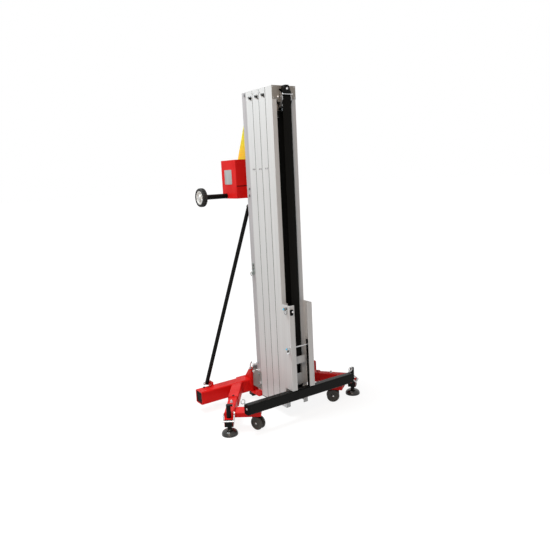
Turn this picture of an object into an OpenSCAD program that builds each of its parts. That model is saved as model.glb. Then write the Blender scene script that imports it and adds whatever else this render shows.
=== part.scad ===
// Telescopic material hoist: four aluminium mast sections slide up one in front of the
// other on a red wheeled base, lifted by a winch strap and belts, and carry a fork bar.
// Lengths are in millimetres. Heights are measured from the ground. Inside the modules y is
// measured from the front face of the mast, and in_frame() moves it to the middle of the part.

/* [Mast] */
// Width of every mast section
mast_w = 160; // [150:1:180]
// Length of every mast section
section_len = 1875; // [1850:5:2200]
// Height of the mast's foot above the ground
mast_lift = 59; // [56:1:70]
// Depth of one mast section
section_d = 66; // [64:1:76]
// Gap between neighbouring sections
section_gap = 1.6; // [1.2:0.1:2.4]
// Side wall thickness of the extrusions
wall = 5; // [4:0.5:7]
// Thickness of the rear web of a section
web = 6; // [4:0.5:7]
// Thickness of the front lips
lip_t = 5; // [4:0.5:6]
// Width of each front lip
lip_w = 29.5; // [27:0.5:32]
// Depth of the spine channel behind the fixed section
spine_d = 46; // [42:1:56]
// Running gap between a hook and the lip that it slides behind
slide_gap = 0.6; // [0.4:0.1:1]
// Thickness of the hooks on the rear of the moving sections
hook_t = 5; // [4:0.5:6]
// Width of the neck that joins a hook to its section
hook_neck = 7; // [5:0.5:9]
// Reach of a hook behind the lip
hook_reach = 15; // [10:1:18]
// Rise of each stage
travel = 1060; // [700:10:1060]
// Distance of the carriage stops below the top of the mast
stop_drop = 171; // [150:1:300]

/* [Belts and pulleys] */
// Width of the belts that lift the moving sections
belt_w = 56; // [40:1:60]
// Thickness of the belts and of the winch strap
belt_t = 2; // [1.5:0.1:2.5]
// Gap between a belt and the pulley face it runs on
belt_gap = 0.3; // [0.2:0.1:0.5]
// Radius of the small pulleys inside the moving sections
sheave_r = 12; // [10:0.5:13]
// Radius of the big pulley at the top of the front section
top_pulley_r = 46; // [42:0.5:52]
// Radius of the strap pulley at the top of the fixed section
strap_pulley_r = 34; // [33:0.5:36]
// Height of a pulley flange above its belt face
flange_h = 5; // [3:0.5:6]
// Thickness of a pulley flange
flange_t = 3; // [2:0.5:4]
// Radius of the pulley axles
axle_r = 5; // [4:0.5:6]
// Running gap around every axle and pin
run_gap = 0.05; // [0.02:0.01:0.08]
// Width of the yellow winch strap
strap_w = 64; // [50:1:66]

/* [Carriage] */
// Overall width of the carriage
car_w = 162; // [156:1:170]
// Depth of the carriage in front of the mast
car_d = 76; // [70:1:85]
// Height of the carriage's lower end
car_low = 186; // [184:1:200]
// Length of the carriage channels
car_len = 515; // [480:1:560]
// Wall thickness of the carriage channels
car_wall = 5; // [4:0.5:6]
// Width of the front flanges
car_flange = 34; // [28:1:38]
// Height of the belt cross plate above the carriage's lower end
cross_up = 144; // [120:1:180]
// Height of the belt cross plate
cross_h = 45; // [30:1:60]
// Height of the lower plate
low_plate_h = 72; // [50:1:90]

/* [Fork bar] */
// Length of the fork bar without its end caps
bar_len = 770; // [700:5:900]
// Depth of the fork bar
bar_d = 46; // [40:1:48]
// Height of the fork bar
bar_h = 60; // [50:1:66]
// Wall thickness of the fork bar
bar_wall = 4; // [3:0.5:5]
// Corner radius of the fork bar
bar_round = 8; // [6:0.5:10]
// Thickness of the rounded end caps
bar_cap = 8; // [6:1:12]
// Height of the fork bar's top below the carriage's lower end
bar_drop = 4; // [3:0.5:10]
// Thickness of the uprights that hold the bar in the carriage
upright_t = 14; // [6:0.5:18]
// Height of the uprights above the bar
upright_h = 286; // [270:1:300]
// Radius of the rod that locks the uprights
rod_r = 4; // [3:0.5:5]
// Radius of the short lock pin
lock_r = 5; // [4:0.5:6]

/* [Base] */
// Length of the rear beam
beam_len = 904; // [800:2:1000]
// Side of the square rear beam
beam_s = 84; // [76:1:90]
// Wall thickness of the rear beam
beam_wall = 5; // [3:0.5:6]
// Corner radius of the rear beam
beam_round = 9; // [7:0.5:12]
// Height of the beam's top face
beam_top = 138; // [136:1:150]
// Gap between the mast's spine and the beam
beam_gap = 71; // [66:1:90]
// Radius of the socket hole through each end of the beam
socket_r = 16; // [12:0.5:20]
// Wall thickness of the tube welded into each socket hole
socket_wall = 4; // [3:0.5:6]
// Distance of the socket hole from the beam's end
socket_in = 87; // [60:1:95]
// Thickness of the yoke plates
yoke_t = 12; // [8:1:14]
// Height of the yoke plates
yoke_top = 221; // [200:1:240]
// Thickness of the steel brackets between mast and yoke
bracket_t = 2; // [2:0.5:4]
// Radius of the struts
strut_r = 12.5; // [10:0.5:14]
// Wall thickness of the struts
strut_wall = 2.5; // [2:0.5:4]
// Height of the struts' upper ends
strut_top = 1265; // [1000:5:1270]
// Radius of the rear rollers
roller_r = 20; // [18:1:22]

/* [Legs] */
// Half the distance between the two feet
foot_x = 467; // [440:1:500]
// Distance of the feet behind the mast's front face
foot_y = 22; // [10:1:30]
// Angle of the legs from straight ahead
leg_angle = 36.6; // [34:0.1:40]
// Outer width of the sleeves
sleeve_w = 64; // [60:1:70]
// Outer height of the sleeves
sleeve_h = 66; // [62:1:72]
// Wall thickness of the sleeves
sleeve_wall = 4.5; // [3:0.5:6]
// Corner radius of the sleeves
sleeve_round = 8; // [7:0.5:9]
// Wall thickness of the legs
leg_wall = 4; // [3:0.5:6]
// Corner radius of the legs
leg_round = 7; // [6.5:0.5:9]
// Distance of a sleeve's mouth from its foot
sleeve_mouth = 225; // [210:1:240]
// Gap between a leg and its sleeve
leg_gap = 0.5; // [0.3:0.1:1]
// How far a leg reaches from its foot into the sleeve
leg_reach = 390; // [380:1:395]
// Width of the caster plates
caster_plate_w = 92; // [80:1:100]
// Thickness of the caster plates
caster_plate_t = 25; // [20:1:28]
// Height of the caster plates' top face
caster_plate_top = 113; // [110:1:116]
// Distance of the caster's king pin from the leg's middle line
caster_out = 141; // [130:1:150]
// Distance of the king pin from the foot, along the leg
caster_back = 76; // [70:1:85]

/* [Casters and feet] */
// Radius of the caster wheels
caster_r = 40; // [36:1:42]
// Width of each of a caster's twin wheels
caster_tread = 14; // [10:1:16]
// Gap between the twin wheels
caster_slot = 14; // [12:1:16]
// Trail of the caster wheels behind their king pin
caster_trail = 22; // [16:1:26]
// Radius of the king pins
king_r = 8; // [6:0.5:10]
// Swivel angle of the left caster
left_yaw = 19; // [0:1:90]
// Swivel angle of the right caster
right_yaw = -124; // [-180:1:90]
// Radius of the feet
foot_r = 47; // [40:1:52]
// Radius of the jack posts
post_r = 13; // [11:0.5:15]
// Height of the jack posts' tops
post_top = 180; // [175:1:215]
// Side of the square jack collars
collar_s = 50; // [46:1:54]
// Height of the jack collars
collar_h = 40; // [34:1:46]
// Wire radius of the jack bails
bail_r = 4; // [3:0.5:5]

/* [Winch] */
// Width of the winch housing
box_w = 230; // [220:1:250]
// Depth of the winch housing
box_d = 177; // [170:1:200]
// Height of the winch housing
box_h = 237; // [230:1:250]
// Height of the housing's bottom
box_low = 1315; // [1300:1:1320]
// Gap between the mast's spine and the housing
box_gap = 67; // [60:1:80]
// Thickness of the housing's sheet
sheet = 3; // [2:0.5:4]
// Height of the front slot above the housing's bottom
slot_up = 74; // [60:1:90]
// Height of the front slot
slot_h = 4; // [3:0.5:6]
// Radius of the drum's core
drum_r = 30; // [24:1:34]
// Radius of the strap wound on the drum
winding_r = 50; // [46:1:52]
// Radius of the drum's flanges
drum_flange_r = 58; // [55:1:60]
// Radius of the drum shaft
drum_shaft_r = 8; // [6:0.5:10]
// Tooth size of the winch gears
gear_module = 2.5; // [2.2:0.05:2.6]
// Teeth on the drum gear
drum_teeth = 48; // [44:1:48]
// Teeth on the pinion
pinion_teeth = 15; // [14:1:16]
// Width of the drum gear
gear_w = 14; // [10:1:18]
// Radius of the crank shaft
crank_shaft_r = 8; // [6:0.5:9]
// Length of the crank arm between its two axes
crank_len = 150; // [120:1:155]
// Length of the crank grip
grip_len = 105; // [90:1:110]
// Radius of the crank grip
grip_r = 14; // [12:0.5:16]

/* [Transport wheels] */
// Radius of the transport axle
wheel_axle_r = 15.5; // [12:0.5:17]
// Distance between the inner faces of the transport wheels
wheel_inner = 558; // [500:1:580]
// Width of a transport wheel
wheel_w = 34; // [30:1:56]
// Outer radius of a transport wheel
wheel_r = 58; // [54:1:68]
// Radius of a transport wheel's hub
hub_r = 42; // [36:1:46]
// Height of the transport axle above the housing's bottom
wheel_up = 17; // [16:1:24]
// Distance of the transport axle from the housing's rear face
wheel_in = 49; // [40:1:60]

/* [Hidden] */
$fn = 64;

aluminium = "#d4d5d5";
red = "#d0211f";
black = "#1c1c1b";
steel = "#9b978f";
silver = "#c9cacb";
yellow = "#f6d833";
blue = "#52c3f0";
dark_rubber = "#33322f";
grey_plastic = "#55534f";

// Gap between pieces that lie against each other, and how far a cut runs past the face it opens
seat_gap = 0.3;
cut = 1;

// Mast: section 1 is the fixed one at the rear, section 4 the front one
half_w = mast_w / 2;
mast_top = mast_lift + section_len;
pitch = section_d + section_gap;
function front_of(k) = (4 - k) * pitch;
function back_of(k) = front_of(k) + section_d;
spine_back = back_of(1) + spine_d;
hook_x = half_w - lip_w - slide_gap;
hook_in_x = hook_x - hook_neck;
hook_depth = section_gap + lip_t + slide_gap + hook_t;
notch_gap = 4;

// Pulleys: the rear run of each belt lies just behind the web of its section
run_back = section_d + slide_gap;
sheave_drop = 24;
sheave_z = mast_top - sheave_drop;
function sheave_y(k) = front_of(k) + run_back - belt_gap - sheave_r;
function sheave_front(k) = sheave_y(k) - sheave_r - belt_gap - belt_t;
top_pulley_drop = 72;
top_pulley_y = run_back - belt_gap - top_pulley_r;
top_pulley_z = mast_top - top_pulley_drop;
strap_clear = 7.1;
strap_front = back_of(1) - web - strap_clear - belt_t;
strap_pulley_y = strap_front + belt_t + belt_gap + strap_pulley_r;
strap_pulley_under = 1;
strap_pulley_z = mast_top - strap_pulley_r - flange_h - strap_pulley_under;
strap_pulley_side = 3;
strap_axle_r = 8;
axle_short = 1;

// Steel cap and black guard over the big pulley at the top of the front section
cap_t = 3;
cap_h = 72;
cheek_gap = 1.5;
cheek_t = 4;
cheek_x = belt_w / 2 + flange_t + cheek_gap;
cheek_under = 30;
cheek_low = top_pulley_z - cheek_under;
cap_room = 1;
cap_back = section_d - web - cap_room;
pulley_room = 3;
nut_r = 9;
nut_t = 3;
nut_gap = 0.5;
axle_end_r = 6;
guard_out = 3;
guard_top_x = 12;
guard_low_x = 28;
guard_slant = 42;
guard_h = 48;

// Carriage and the stops that end its travel inside the front section
car_x = car_w / 2;
car_top = car_low + car_len;
cross_low = car_low + cross_up;
cross_front = 36;
car_back_gap = 1;
stop_z = mast_top - stop_drop;
stop_h = 34;
stop_w = 42;
stop_d = 20;

// Belt anchors inside the sections. With the hoist up, a belt's rear run just reaches its anchor
anchor_h = 40;
anchor_w = 60;
anchor_drop = 140;
anchor_top = mast_top - anchor_drop;
anchor_bar_w = 80;
anchor_bar_d = 5;
anchor_arm_w = 6;
rear_low = anchor_top - anchor_h / 2 - travel;
foot_arm_top = mast_lift + anchor_h;

// Fork bar: it hangs under the carriage on two uprights
bar_top = car_low - bar_drop;
bar_front = -car_d;
bar_mid_y = bar_front + bar_d / 2;
bar_mid_z = bar_top - bar_h / 2;
cap_plug = 12;
upright_x = car_x - car_wall - slide_gap - upright_t;
upright_front = -car_d + car_wall + slide_gap;

// Quick-release pins in the left side of the carriage
rod_y = -60;
rod_drop = 22;
rod_z = bar_top + upright_h - rod_drop;
rod_past = 8;
lock_y = -48;
lock_drop = 18;
lock_z = car_top - lock_drop;
lock_in = 40;
pin_head = 20;
head_wall = 3;
button_r = 5;
button_in = 6;
button_proud = 6;
button_travel = 5;
pull_ring_r = 13;
pull_wire_r = 1.6;
pull_ring_drop = 20.5;

// Rear beam with its sockets, strut lugs and rear plate
beam_front = spine_back + beam_gap;
beam_back = beam_front + beam_s;
beam_low = beam_top - beam_s;
beam_mid_y = beam_front + beam_s / 2;
beam_mid_z = beam_top - beam_s / 2;
beam_in = beam_s - 2 * beam_wall;
beam_in_round = beam_round - beam_wall;
socket_x = beam_len / 2 - socket_in;
socket_back = 20;
socket_y = beam_back - socket_back;
plug_t = 20;
plug_in = 4;
rear_plate_x = 137;
rear_plate_d = 32;
rear_plate_t = 12;

// Yoke at the foot of the mast and its steel brackets
yoke_x = half_w + bracket_t;
yoke_ahead = 14;
yoke_front = beam_front - yoke_ahead;
yoke_top_d = 17;
yoke_toe = 12;
tongue_t = 12;
tongue_under = 25;
bracket_short = 2;
bracket_back = beam_front - bracket_short;
bracket_up = 40;
bracket_low = mast_lift + bracket_up;
bracket_under = 6;
bracket_high = yoke_top - bracket_under;
bracket_bolt_r = 7;
bracket_bolt_h = 6;
bracket_bolt_in = 20;

// Struts turn on pins at the beam and at the spine
strut_foot_x = 365;
strut_head_x = 46;
strut_foot_back = 12;
strut_foot_up = 14;
strut_head_back = 48;
strut_foot = [strut_foot_x, beam_back + strut_foot_back, beam_top + strut_foot_up];
strut_head = [strut_head_x, spine_back + strut_head_back, strut_top];
strut_way = (strut_head - strut_foot) / norm(strut_head - strut_foot);
strut_past = 8;
strut_plug = 20;
strut_side = 3.7;
strut_far = strut_r / sqrt(1 - pow(strut_way[0], 2)) + strut_side;
strut_pin_r = 5;
lug_w = 14;
lug_in = 20;
lug_front = beam_back - lug_in;
lug_out = 26;
lug_back = beam_back + lug_out;
lug_h = 22;
ear_t = 6;
strut_ear_h = 60;
strut_ear_low = strut_top - strut_ear_h / 2;
strut_ear_x = strut_head_x - strut_far - ear_t;
strut_ear_past = 15;

// Rollers under the middle of the beam
roller_plate_x = 92;
roller_plate_t = 8;
roller_plate_in = 5;
roller_ear_x = 64;
roller_ear_t = 8;
roller_ear_in = 22;
roller_ear_under = 8;
roller_in_x = 22;
roller_gap = 2;

// Legs, seen in a frame with its origin under the foot and +y along the leg to the beam
leg_w = sleeve_w - 2 * sleeve_wall - 2 * leg_gap;
leg_h = sleeve_h - 2 * sleeve_wall - 2 * leg_gap;
leg_mid_z = beam_top - sleeve_h / 2;
leg_low = leg_mid_z - leg_h / 2;
leg_high = leg_mid_z + leg_h / 2;
sleeve_end = (beam_front - foot_y + sleeve_w) / cos(leg_angle);
collar_low = 62;
collar_high = collar_low + collar_h;
plate_low = caster_plate_top - caster_plate_t;
plate_end = 40;

// Jacks
foot_rim_h = 8;
foot_neck_r = 16;
foot_dome_h = 23;
foot_dome_steps = 8;
foot_top_r = 14;
foot_top = 33.7;
stem_r = 8;
stem_low = 22;
post_low = foot_top + seat_gap;
handle_len = 25;
handle_w = 12;
handle_h = 10;
bail_eye_r = 7;
bail_x = leg_w / 2 + bail_r + seat_gap;
bail_back = 8;
bail_under = 8;
bail_high = leg_high - bail_under;
bail_gap = 3;
bail_front = -collar_s / 2 - bail_r - bail_gap;
bail_hang = 10;
bail_low = collar_high - bail_hang;

// Casters
caster_disc_r = 24;
caster_disc_t = 5.7;
caster_web_t = 10;
caster_web_front = 18;
caster_boss_r = 14;
king_past = 2;
caster_hub_r = 28;
caster_hub_in = 2;

// Tie-down ring on the left of the spine
ring_y = spine_back - spine_d / 2;
ring_z = 854;
ring_mid_r = 17;
ring_r = 3;
ring_off = 8;
ring_x = -half_w - ring_off;
ring_plate_w = 24;
ring_plate_h = 62;
barrel_r = 6;
barrel_h = 16;

// Winch housing, its bracket, drum and gears
box_front = spine_back + box_gap;
box_back = box_front + box_d;
box_top = box_low + box_h;
box_x = box_w / 2;
slot_z = box_low + slot_up;
winch_ear_x = 22;
winch_ear_under = 5;
winch_ear_h = 90;
winch_ear_low = box_low - winch_ear_under;
winch_ear_high = winch_ear_low + winch_ear_h;
drum_in = 96;
drum_up = 140;
drum_y = box_front + drum_in;
drum_z = box_low + drum_up;
drum_side = 3;
drum_half = strap_w / 2 + drum_side;
drum_flange_t = 4;
shaft_short = 0.5;
gear_off = 14;
gear_x = drum_half + drum_flange_t + gear_off;
gear_distance = gear_module * (drum_teeth + pinion_teeth) / 2;
gear_direction = 138.6;
pinion_past = 2;
pinion_end = 6;
addendum = 0.8;
dedendum = 1.2;
tooth_tip = 0.1;
tooth_root = 0.27;

// Crank on the right of the winch
crank_y = drum_y + gear_distance * cos(gear_direction);
crank_z = drum_z + gear_distance * sin(gear_direction);
crank_gap = 13;
crank_x = box_x + crank_gap;
crank_t = 10;
crank_end_r = 14;
crank_neck = 2;
grip_z = crank_z - crank_len;
grip_gap = 0.5;
grip_x = crank_x + crank_t + grip_gap;
grip_pin_r = 5;
grip_cap_r = 9;
grip_cap_t = 3;

// Transport wheels
axle_y = box_back - wheel_in;
axle_z = box_low + wheel_up;
stub_r = 8;
wheel_mid = wheel_inner / 2 + wheel_w / 2;
axle_gap = 0.5;
tread_edge = 12;
tread_drop = 8;
bead_in = 4;
hub_in = 5;
hub_boss_r = 16;
hub_rim_r = 36;
hub_taper = 2;
hub_disc = 8;

// The strap leaves the drum on its rear side and touches the strap pulley on its rear side
strap_dy = strap_pulley_y - drum_y;
strap_dz = strap_pulley_z - drum_z;
strap_span = norm([strap_dy, strap_dz]);
strap_turn = atan2(-strap_dy, strap_dz) + asin((winding_r - strap_pulley_r) / strap_span);
strap_steps = 24;
strap_top_y = drum_y + (winding_r + belt_gap + belt_t / 2) / cos(strap_turn)
    - (box_top - drum_z) * tan(strap_turn);
strap_hole_d = 14;
strap_hole_side = 4;

// The part's origin lies on the ground, midway between the front and the rear of the part
part_front = bar_front;
part_back = axle_y + wheel_r;
origin_y = (part_front + part_back) / 2;

module in_frame() { translate([0, -origin_y, 0]) children(); }
module both_sides() { children(); mirror([1, 0, 0]) children(); }
module on_side(side) { mirror([side < 0 ? 1 : 0, 0, 0]) children(); }
// A drawing in the y-z plane extruded along x, and one in the x-z plane extruded along y
module along_x(x0, x1) { translate([x0, 0, 0]) rotate([90, 0, 90]) linear_extrude(x1 - x0) children(); }
module along_y(y0, y1) { translate([0, y1, 0]) rotate([90, 0, 0]) linear_extrude(y1 - y0) children(); }
module rod_x(x0, x1, y, z, r) { translate([x0, y, z]) rotate([0, 90, 0]) cylinder(r = r, h = x1 - x0); }
module box(x0, x1, y0, y1, z0, z1) { translate([x0, y0, z0]) cube([x1 - x0, y1 - y0, z1 - z0]); }
module round_between(a, b, r) {
    d = b - a;
    translate(a) rotate([0, acos(d[2] / norm(d)), atan2(d[1], d[0])]) cylinder(r = r, h = norm(d));
}
// A rectangle about a middle point, with round corners
module round_rect(mid, w, h, r) {
    translate(mid) {
        square([w - 2 * r, h], center = true);
        square([w, h - 2 * r], center = true);
        for (s = [-1, 1], t = [-1, 1]) translate([s * (w / 2 - r), t * (h / 2 - r)]) circle(r = r);
    }
}
module leg_frame() { translate([foot_x, foot_y, 0]) rotate([0, 0, leg_angle]) children(); }

// Section of one mast extrusion: two walls, two front lips and a rear web
module channel_profile(k) {
    both_sides() {
        translate([half_w - wall, front_of(k)]) square([wall, section_d]);
        translate([half_w - lip_w, front_of(k)]) square([lip_w, lip_t]);
    }
    translate([-half_w, back_of(k) - web]) square([mast_w, web]);
}
// Hooks that run behind the lips of the section to the rear
module hook_profile(k) {
    both_sides() translate([hook_in_x, back_of(k)]) {
        square([hook_neck, hook_depth]);
        translate([0, hook_depth - hook_t]) square([hook_neck + hook_reach, hook_t]);
    }
}
// Arm at the foot of a section that holds the lower end of its lifting belt
module foot_arm(k, reach) {
    box(-anchor_w / 2, anchor_w / 2, back_of(k) - web / 2, reach, mast_lift, foot_arm_top);
}
// Bracket inside a section's front opening that holds the rear end of the next section's belt
module belt_anchor(k) {
    front = front_of(k + 1) + run_back + belt_t + slide_gap;
    low = anchor_top - anchor_h;
    bar_x = anchor_bar_w / 2;
    box(-bar_x, bar_x, front, front + anchor_bar_d, low, anchor_top);
    both_sides() box(bar_x - anchor_arm_w, bar_x, front, back_of(k) - web / 2, low, anchor_top);
}
module web_notch(k, w, low) {
    box(-w / 2, w / 2, back_of(k) - web - cut, back_of(k) + cut, low, mast_top + cut);
}
module wall_bores(y, z, r) { rod_x(-half_w - cut, half_w + cut, y, z, r + run_gap); }
module moving_section(k) {
    difference() {
        translate([0, 0, mast_lift]) linear_extrude(section_len) {
            channel_profile(k);
            hook_profile(k);
        }
        children();
    }
}
module mast_section_1() {
    notch_w = strap_w + 2 * (strap_pulley_side + flange_t) + notch_gap;
    color(aluminium) in_frame() {
        difference() {
            translate([0, 0, mast_lift]) linear_extrude(section_len) {
                channel_profile(1);
                both_sides() {
                    translate([half_w - wall, back_of(1) - web]) square([wall, spine_d + web]);
                    translate([half_w - lip_w, spine_back - lip_t]) square([lip_w, lip_t]);
                }
            }
            web_notch(1, notch_w, strap_pulley_z - strap_pulley_r - flange_h - notch_gap);
            wall_bores(strap_pulley_y, strap_pulley_z, strap_axle_r);
        }
        belt_anchor(1);
    }
}
module belt_section(k, reach) {
    color(aluminium) in_frame() {
        moving_section(k) {
            web_notch(k, belt_w + 2 * flange_t + notch_gap, sheave_z - sheave_r - flange_h - notch_gap);
            wall_bores(sheave_y(k), sheave_z, axle_r);
        }
        foot_arm(k, reach);
        belt_anchor(k);
    }
}
module mast_section_2() { belt_section(2, strap_front + belt_t); }
module mast_section_3() { belt_section(3, sheave_front(2) + belt_t); }
module mast_section_4() {
    notch_low = top_pulley_z - top_pulley_r - flange_h - notch_gap;
    stop_front = lip_t + slide_gap;
    color(aluminium) in_frame() {
        moving_section(4) web_notch(4, belt_w + 2 * flange_t + notch_gap, notch_low);
        foot_arm(4, sheave_front(3) + belt_t);
        both_sides() box(half_w - wall - stop_w, half_w - wall / 2, stop_front, stop_front + stop_d,
            stop_z, stop_z + stop_h);
    }
}

// A flanged pulley with its axle
module pulley(y, z, r, w, shaft_r, shaft_x) {
    rod_x(-shaft_x, shaft_x, y, z, shaft_r);
    rod_x(-w / 2 - flange_t, w / 2 + flange_t, y, z, r);
    both_sides() rod_x(w / 2, w / 2 + flange_t, y, z, r + flange_h);
}
module strap_pulley() {
    color(silver) in_frame() pulley(strap_pulley_y, strap_pulley_z, strap_pulley_r,
        strap_w + 2 * strap_pulley_side, strap_axle_r, half_w - axle_short);
}
module belt_pulley(k) {
    color(silver) in_frame() pulley(sheave_y(k), sheave_z, sheave_r, belt_w, axle_r, half_w - axle_short);
}
module belt_pulley_2() { belt_pulley(2); }
module belt_pulley_3() { belt_pulley(3); }
// The front section's big pulley turns in the cheeks of the steel top cap
module top_pulley() {
    nut_x = cheek_x + cheek_t + nut_gap;
    color(silver) in_frame() {
        pulley(top_pulley_y, top_pulley_z, top_pulley_r, belt_w, axle_r, nut_x + nut_t);
        both_sides() translate([nut_x, top_pulley_y, top_pulley_z]) rotate([0, 90, 0]) {
            cylinder(r = nut_r, h = nut_t);
            translate([0, 0, nut_t]) intersection() {
                sphere(r = axle_end_r);
                cylinder(r = 2 * axle_end_r, h = 2 * axle_end_r);
            }
        }
    }
}
module top_cap() {
    notch_top = top_pulley_z + top_pulley_r + flange_h + pulley_room;
    color(steel) in_frame() {
        difference() {
            box(-half_w, half_w, -cap_t, 0, mast_top - cap_h, mast_top);
            box(-cheek_x, cheek_x, -cap_t - cut, cut, mast_top - cap_h - cut, notch_top);
        }
        difference() {
            both_sides() box(cheek_x, cheek_x + cheek_t, -cap_t, cap_back, cheek_low, mast_top);
            wall_bores(top_pulley_y, top_pulley_z, axle_r);
        }
        box(-cheek_x, cheek_x, 0, cap_back, mast_top - cap_t, mast_top);
    }
}
module belt_guard() {
    guard_front = top_pulley_y - top_pulley_r - flange_h - guard_out;
    color(black) in_frame() difference() {
        along_y(guard_front, -cap_t) polygon([
            [-guard_top_x, mast_top], [guard_top_x, mast_top],
            [guard_low_x, mast_top - guard_slant], [guard_low_x, mast_top - guard_h],
            [-guard_low_x, mast_top - guard_h], [-guard_low_x, mast_top - guard_slant]]);
        rod_x(-half_w, half_w, top_pulley_y, top_pulley_z, top_pulley_r + flange_h + pulley_room);
    }
}

// A belt around a pulley: the rear run, the turn over the top and the front run. The rear run is as
// long as it is when the hoist is fully up, where its lower end reaches the anchor behind it
module belt(y, z, r, front_low) {
    r0 = r + belt_gap;
    r1 = r0 + belt_t;
    color(black) in_frame() along_x(-belt_w / 2, belt_w / 2) {
        translate([y + r0, rear_low]) square([belt_t, z - rear_low]);
        translate([y - r1, front_low]) square([belt_t, z - front_low]);
        translate([y, z]) intersection() {
            difference() {
                circle(r = r1);
                circle(r = r0);
            }
            translate([-2 * r1, 0]) square([4 * r1, 2 * r1]);
        }
    }
}
module lift_belt_2() { belt(sheave_y(2), sheave_z, sheave_r, foot_arm_top); }
module lift_belt_3() { belt(sheave_y(3), sheave_z, sheave_r, foot_arm_top); }
module front_belt() { belt(top_pulley_y, top_pulley_z, top_pulley_r, cross_low + cross_h); }
// The strap runs straight from the drum to the strap pulley and over it to the front
module lift_strap() {
    function way(a) = [cos(a), sin(a)];
    function turn(i) = strap_turn + (180 - strap_turn) * i / strap_steps;
    drum_at = [drum_y, drum_z];
    pulley_at = [strap_pulley_y, strap_pulley_z];
    inner = belt_gap;
    outer = belt_gap + belt_t;
    color(yellow) in_frame() along_x(-strap_w / 2, strap_w / 2) polygon(concat(
        [for (gap = [inner, outer]) drum_at + (winding_r + gap) * way(strap_turn)],
        [for (i = [0:strap_steps]) pulley_at + (strap_pulley_r + outer) * way(turn(i))],
        [for (i = [strap_steps:-1:0]) pulley_at + (strap_pulley_r + inner) * way(turn(i))]));
}
module strap_inner_run() {
    color(yellow) in_frame()
        box(-strap_w / 2, strap_w / 2, strap_front, strap_front + belt_t, foot_arm_top, strap_pulley_z);
}

// Carriage: two channels with hooks behind the lips of the front section
module carriage_profile() {
    back = -car_back_gap - car_wall;
    hook_front = lip_t + slide_gap;
    translate([car_x - car_wall, -car_d]) square([car_wall, car_d - car_back_gap]);
    translate([car_x - car_flange, -car_d]) square([car_flange, car_wall]);
    translate([hook_in_x, back]) square([car_x - hook_in_x, car_wall]);
    translate([hook_in_x, back]) square([hook_neck, hook_front + hook_t - back]);
    translate([hook_in_x, hook_front]) square([hook_neck + hook_reach, hook_t]);
}
module carriage_channel(side) {
    bore_x = car_x - car_wall - cut;
    color(aluminium) in_frame() on_side(side) difference() {
        translate([0, 0, car_low]) linear_extrude(car_len) carriage_profile();
        rod_x(bore_x, car_x + cut, rod_y, rod_z, rod_r + run_gap);
        if (side < 0) rod_x(bore_x, car_x + cut, lock_y, lock_z, lock_r + run_gap);
    }
}
module carriage_left_channel() { carriage_channel(-1); }
module carriage_right_channel() { carriage_channel(1); }
module carriage_plates() {
    color(aluminium) in_frame() {
        box(-hook_in_x, hook_in_x, -cross_front, -car_back_gap, cross_low, cross_low + cross_h);
        box(-hook_in_x, hook_in_x, -car_back_gap - car_wall, -car_back_gap, car_low, car_low + low_plate_h);
    }
}
module fork_bar() {
    mid = [bar_mid_y, bar_mid_z];
    color(black) in_frame() {
        difference() {
            along_x(-bar_len / 2, bar_len / 2) round_rect(mid, bar_d, bar_h, bar_round);
            along_x(-bar_len, bar_len)
                round_rect(mid, bar_d - 2 * bar_wall, bar_h - 2 * bar_wall, bar_round - bar_wall);
        }
        both_sides() difference() {
            box(upright_x, upright_x + upright_t, upright_front, bar_front + bar_d,
                bar_top - bar_round, bar_top + upright_h);
            rod_x(upright_x - cut, upright_x + upright_t + cut, rod_y, rod_z, rod_r + run_gap);
        }
    }
}
module bar_end_caps() {
    mid = [bar_mid_y, bar_mid_z];
    color(black) in_frame() both_sides() {
        along_x(bar_len / 2, bar_len / 2 + bar_cap) round_rect(mid, bar_d, bar_h, bar_round);
        along_x(bar_len / 2 - cap_plug, bar_len / 2)
            round_rect(mid, bar_d - 2 * bar_wall, bar_h - 2 * bar_wall, bar_round - bar_wall);
    }
}
// A quick-release pin: shank, head with a bore for its button, and a pull ring
module release_pin(y, z, r, tip) {
    head_x = -car_x - pin_head;
    difference() {
        union() {
            rod_x(head_x, tip, y, z, r);
            rod_x(head_x, -car_x - seat_gap, y, z, button_r + head_wall);
        }
        rod_x(head_x - cut, head_x + button_in + button_travel + seat_gap, y, z, button_r + run_gap);
    }
    translate([-car_x - pin_head / 2, y, z - pull_ring_drop]) rotate([0, 90, 0])
        rotate_extrude() translate([pull_ring_r, 0]) circle(r = pull_wire_r);
}
module pin_button(y, z) {
    rod_x(-car_x - pin_head - button_proud, -car_x - pin_head + button_in, y, z, button_r);
}
module lock_pin() { color(silver) in_frame() release_pin(lock_y, lock_z, lock_r, -car_x + lock_in); }
module lock_pin_button() { color(blue) in_frame() pin_button(lock_y, lock_z); }
module cross_rod() { color(silver) in_frame() release_pin(rod_y, rod_z, rod_r, car_x + rod_past); }
module cross_rod_button() { color(blue) in_frame() pin_button(rod_y, rod_z); }

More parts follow.
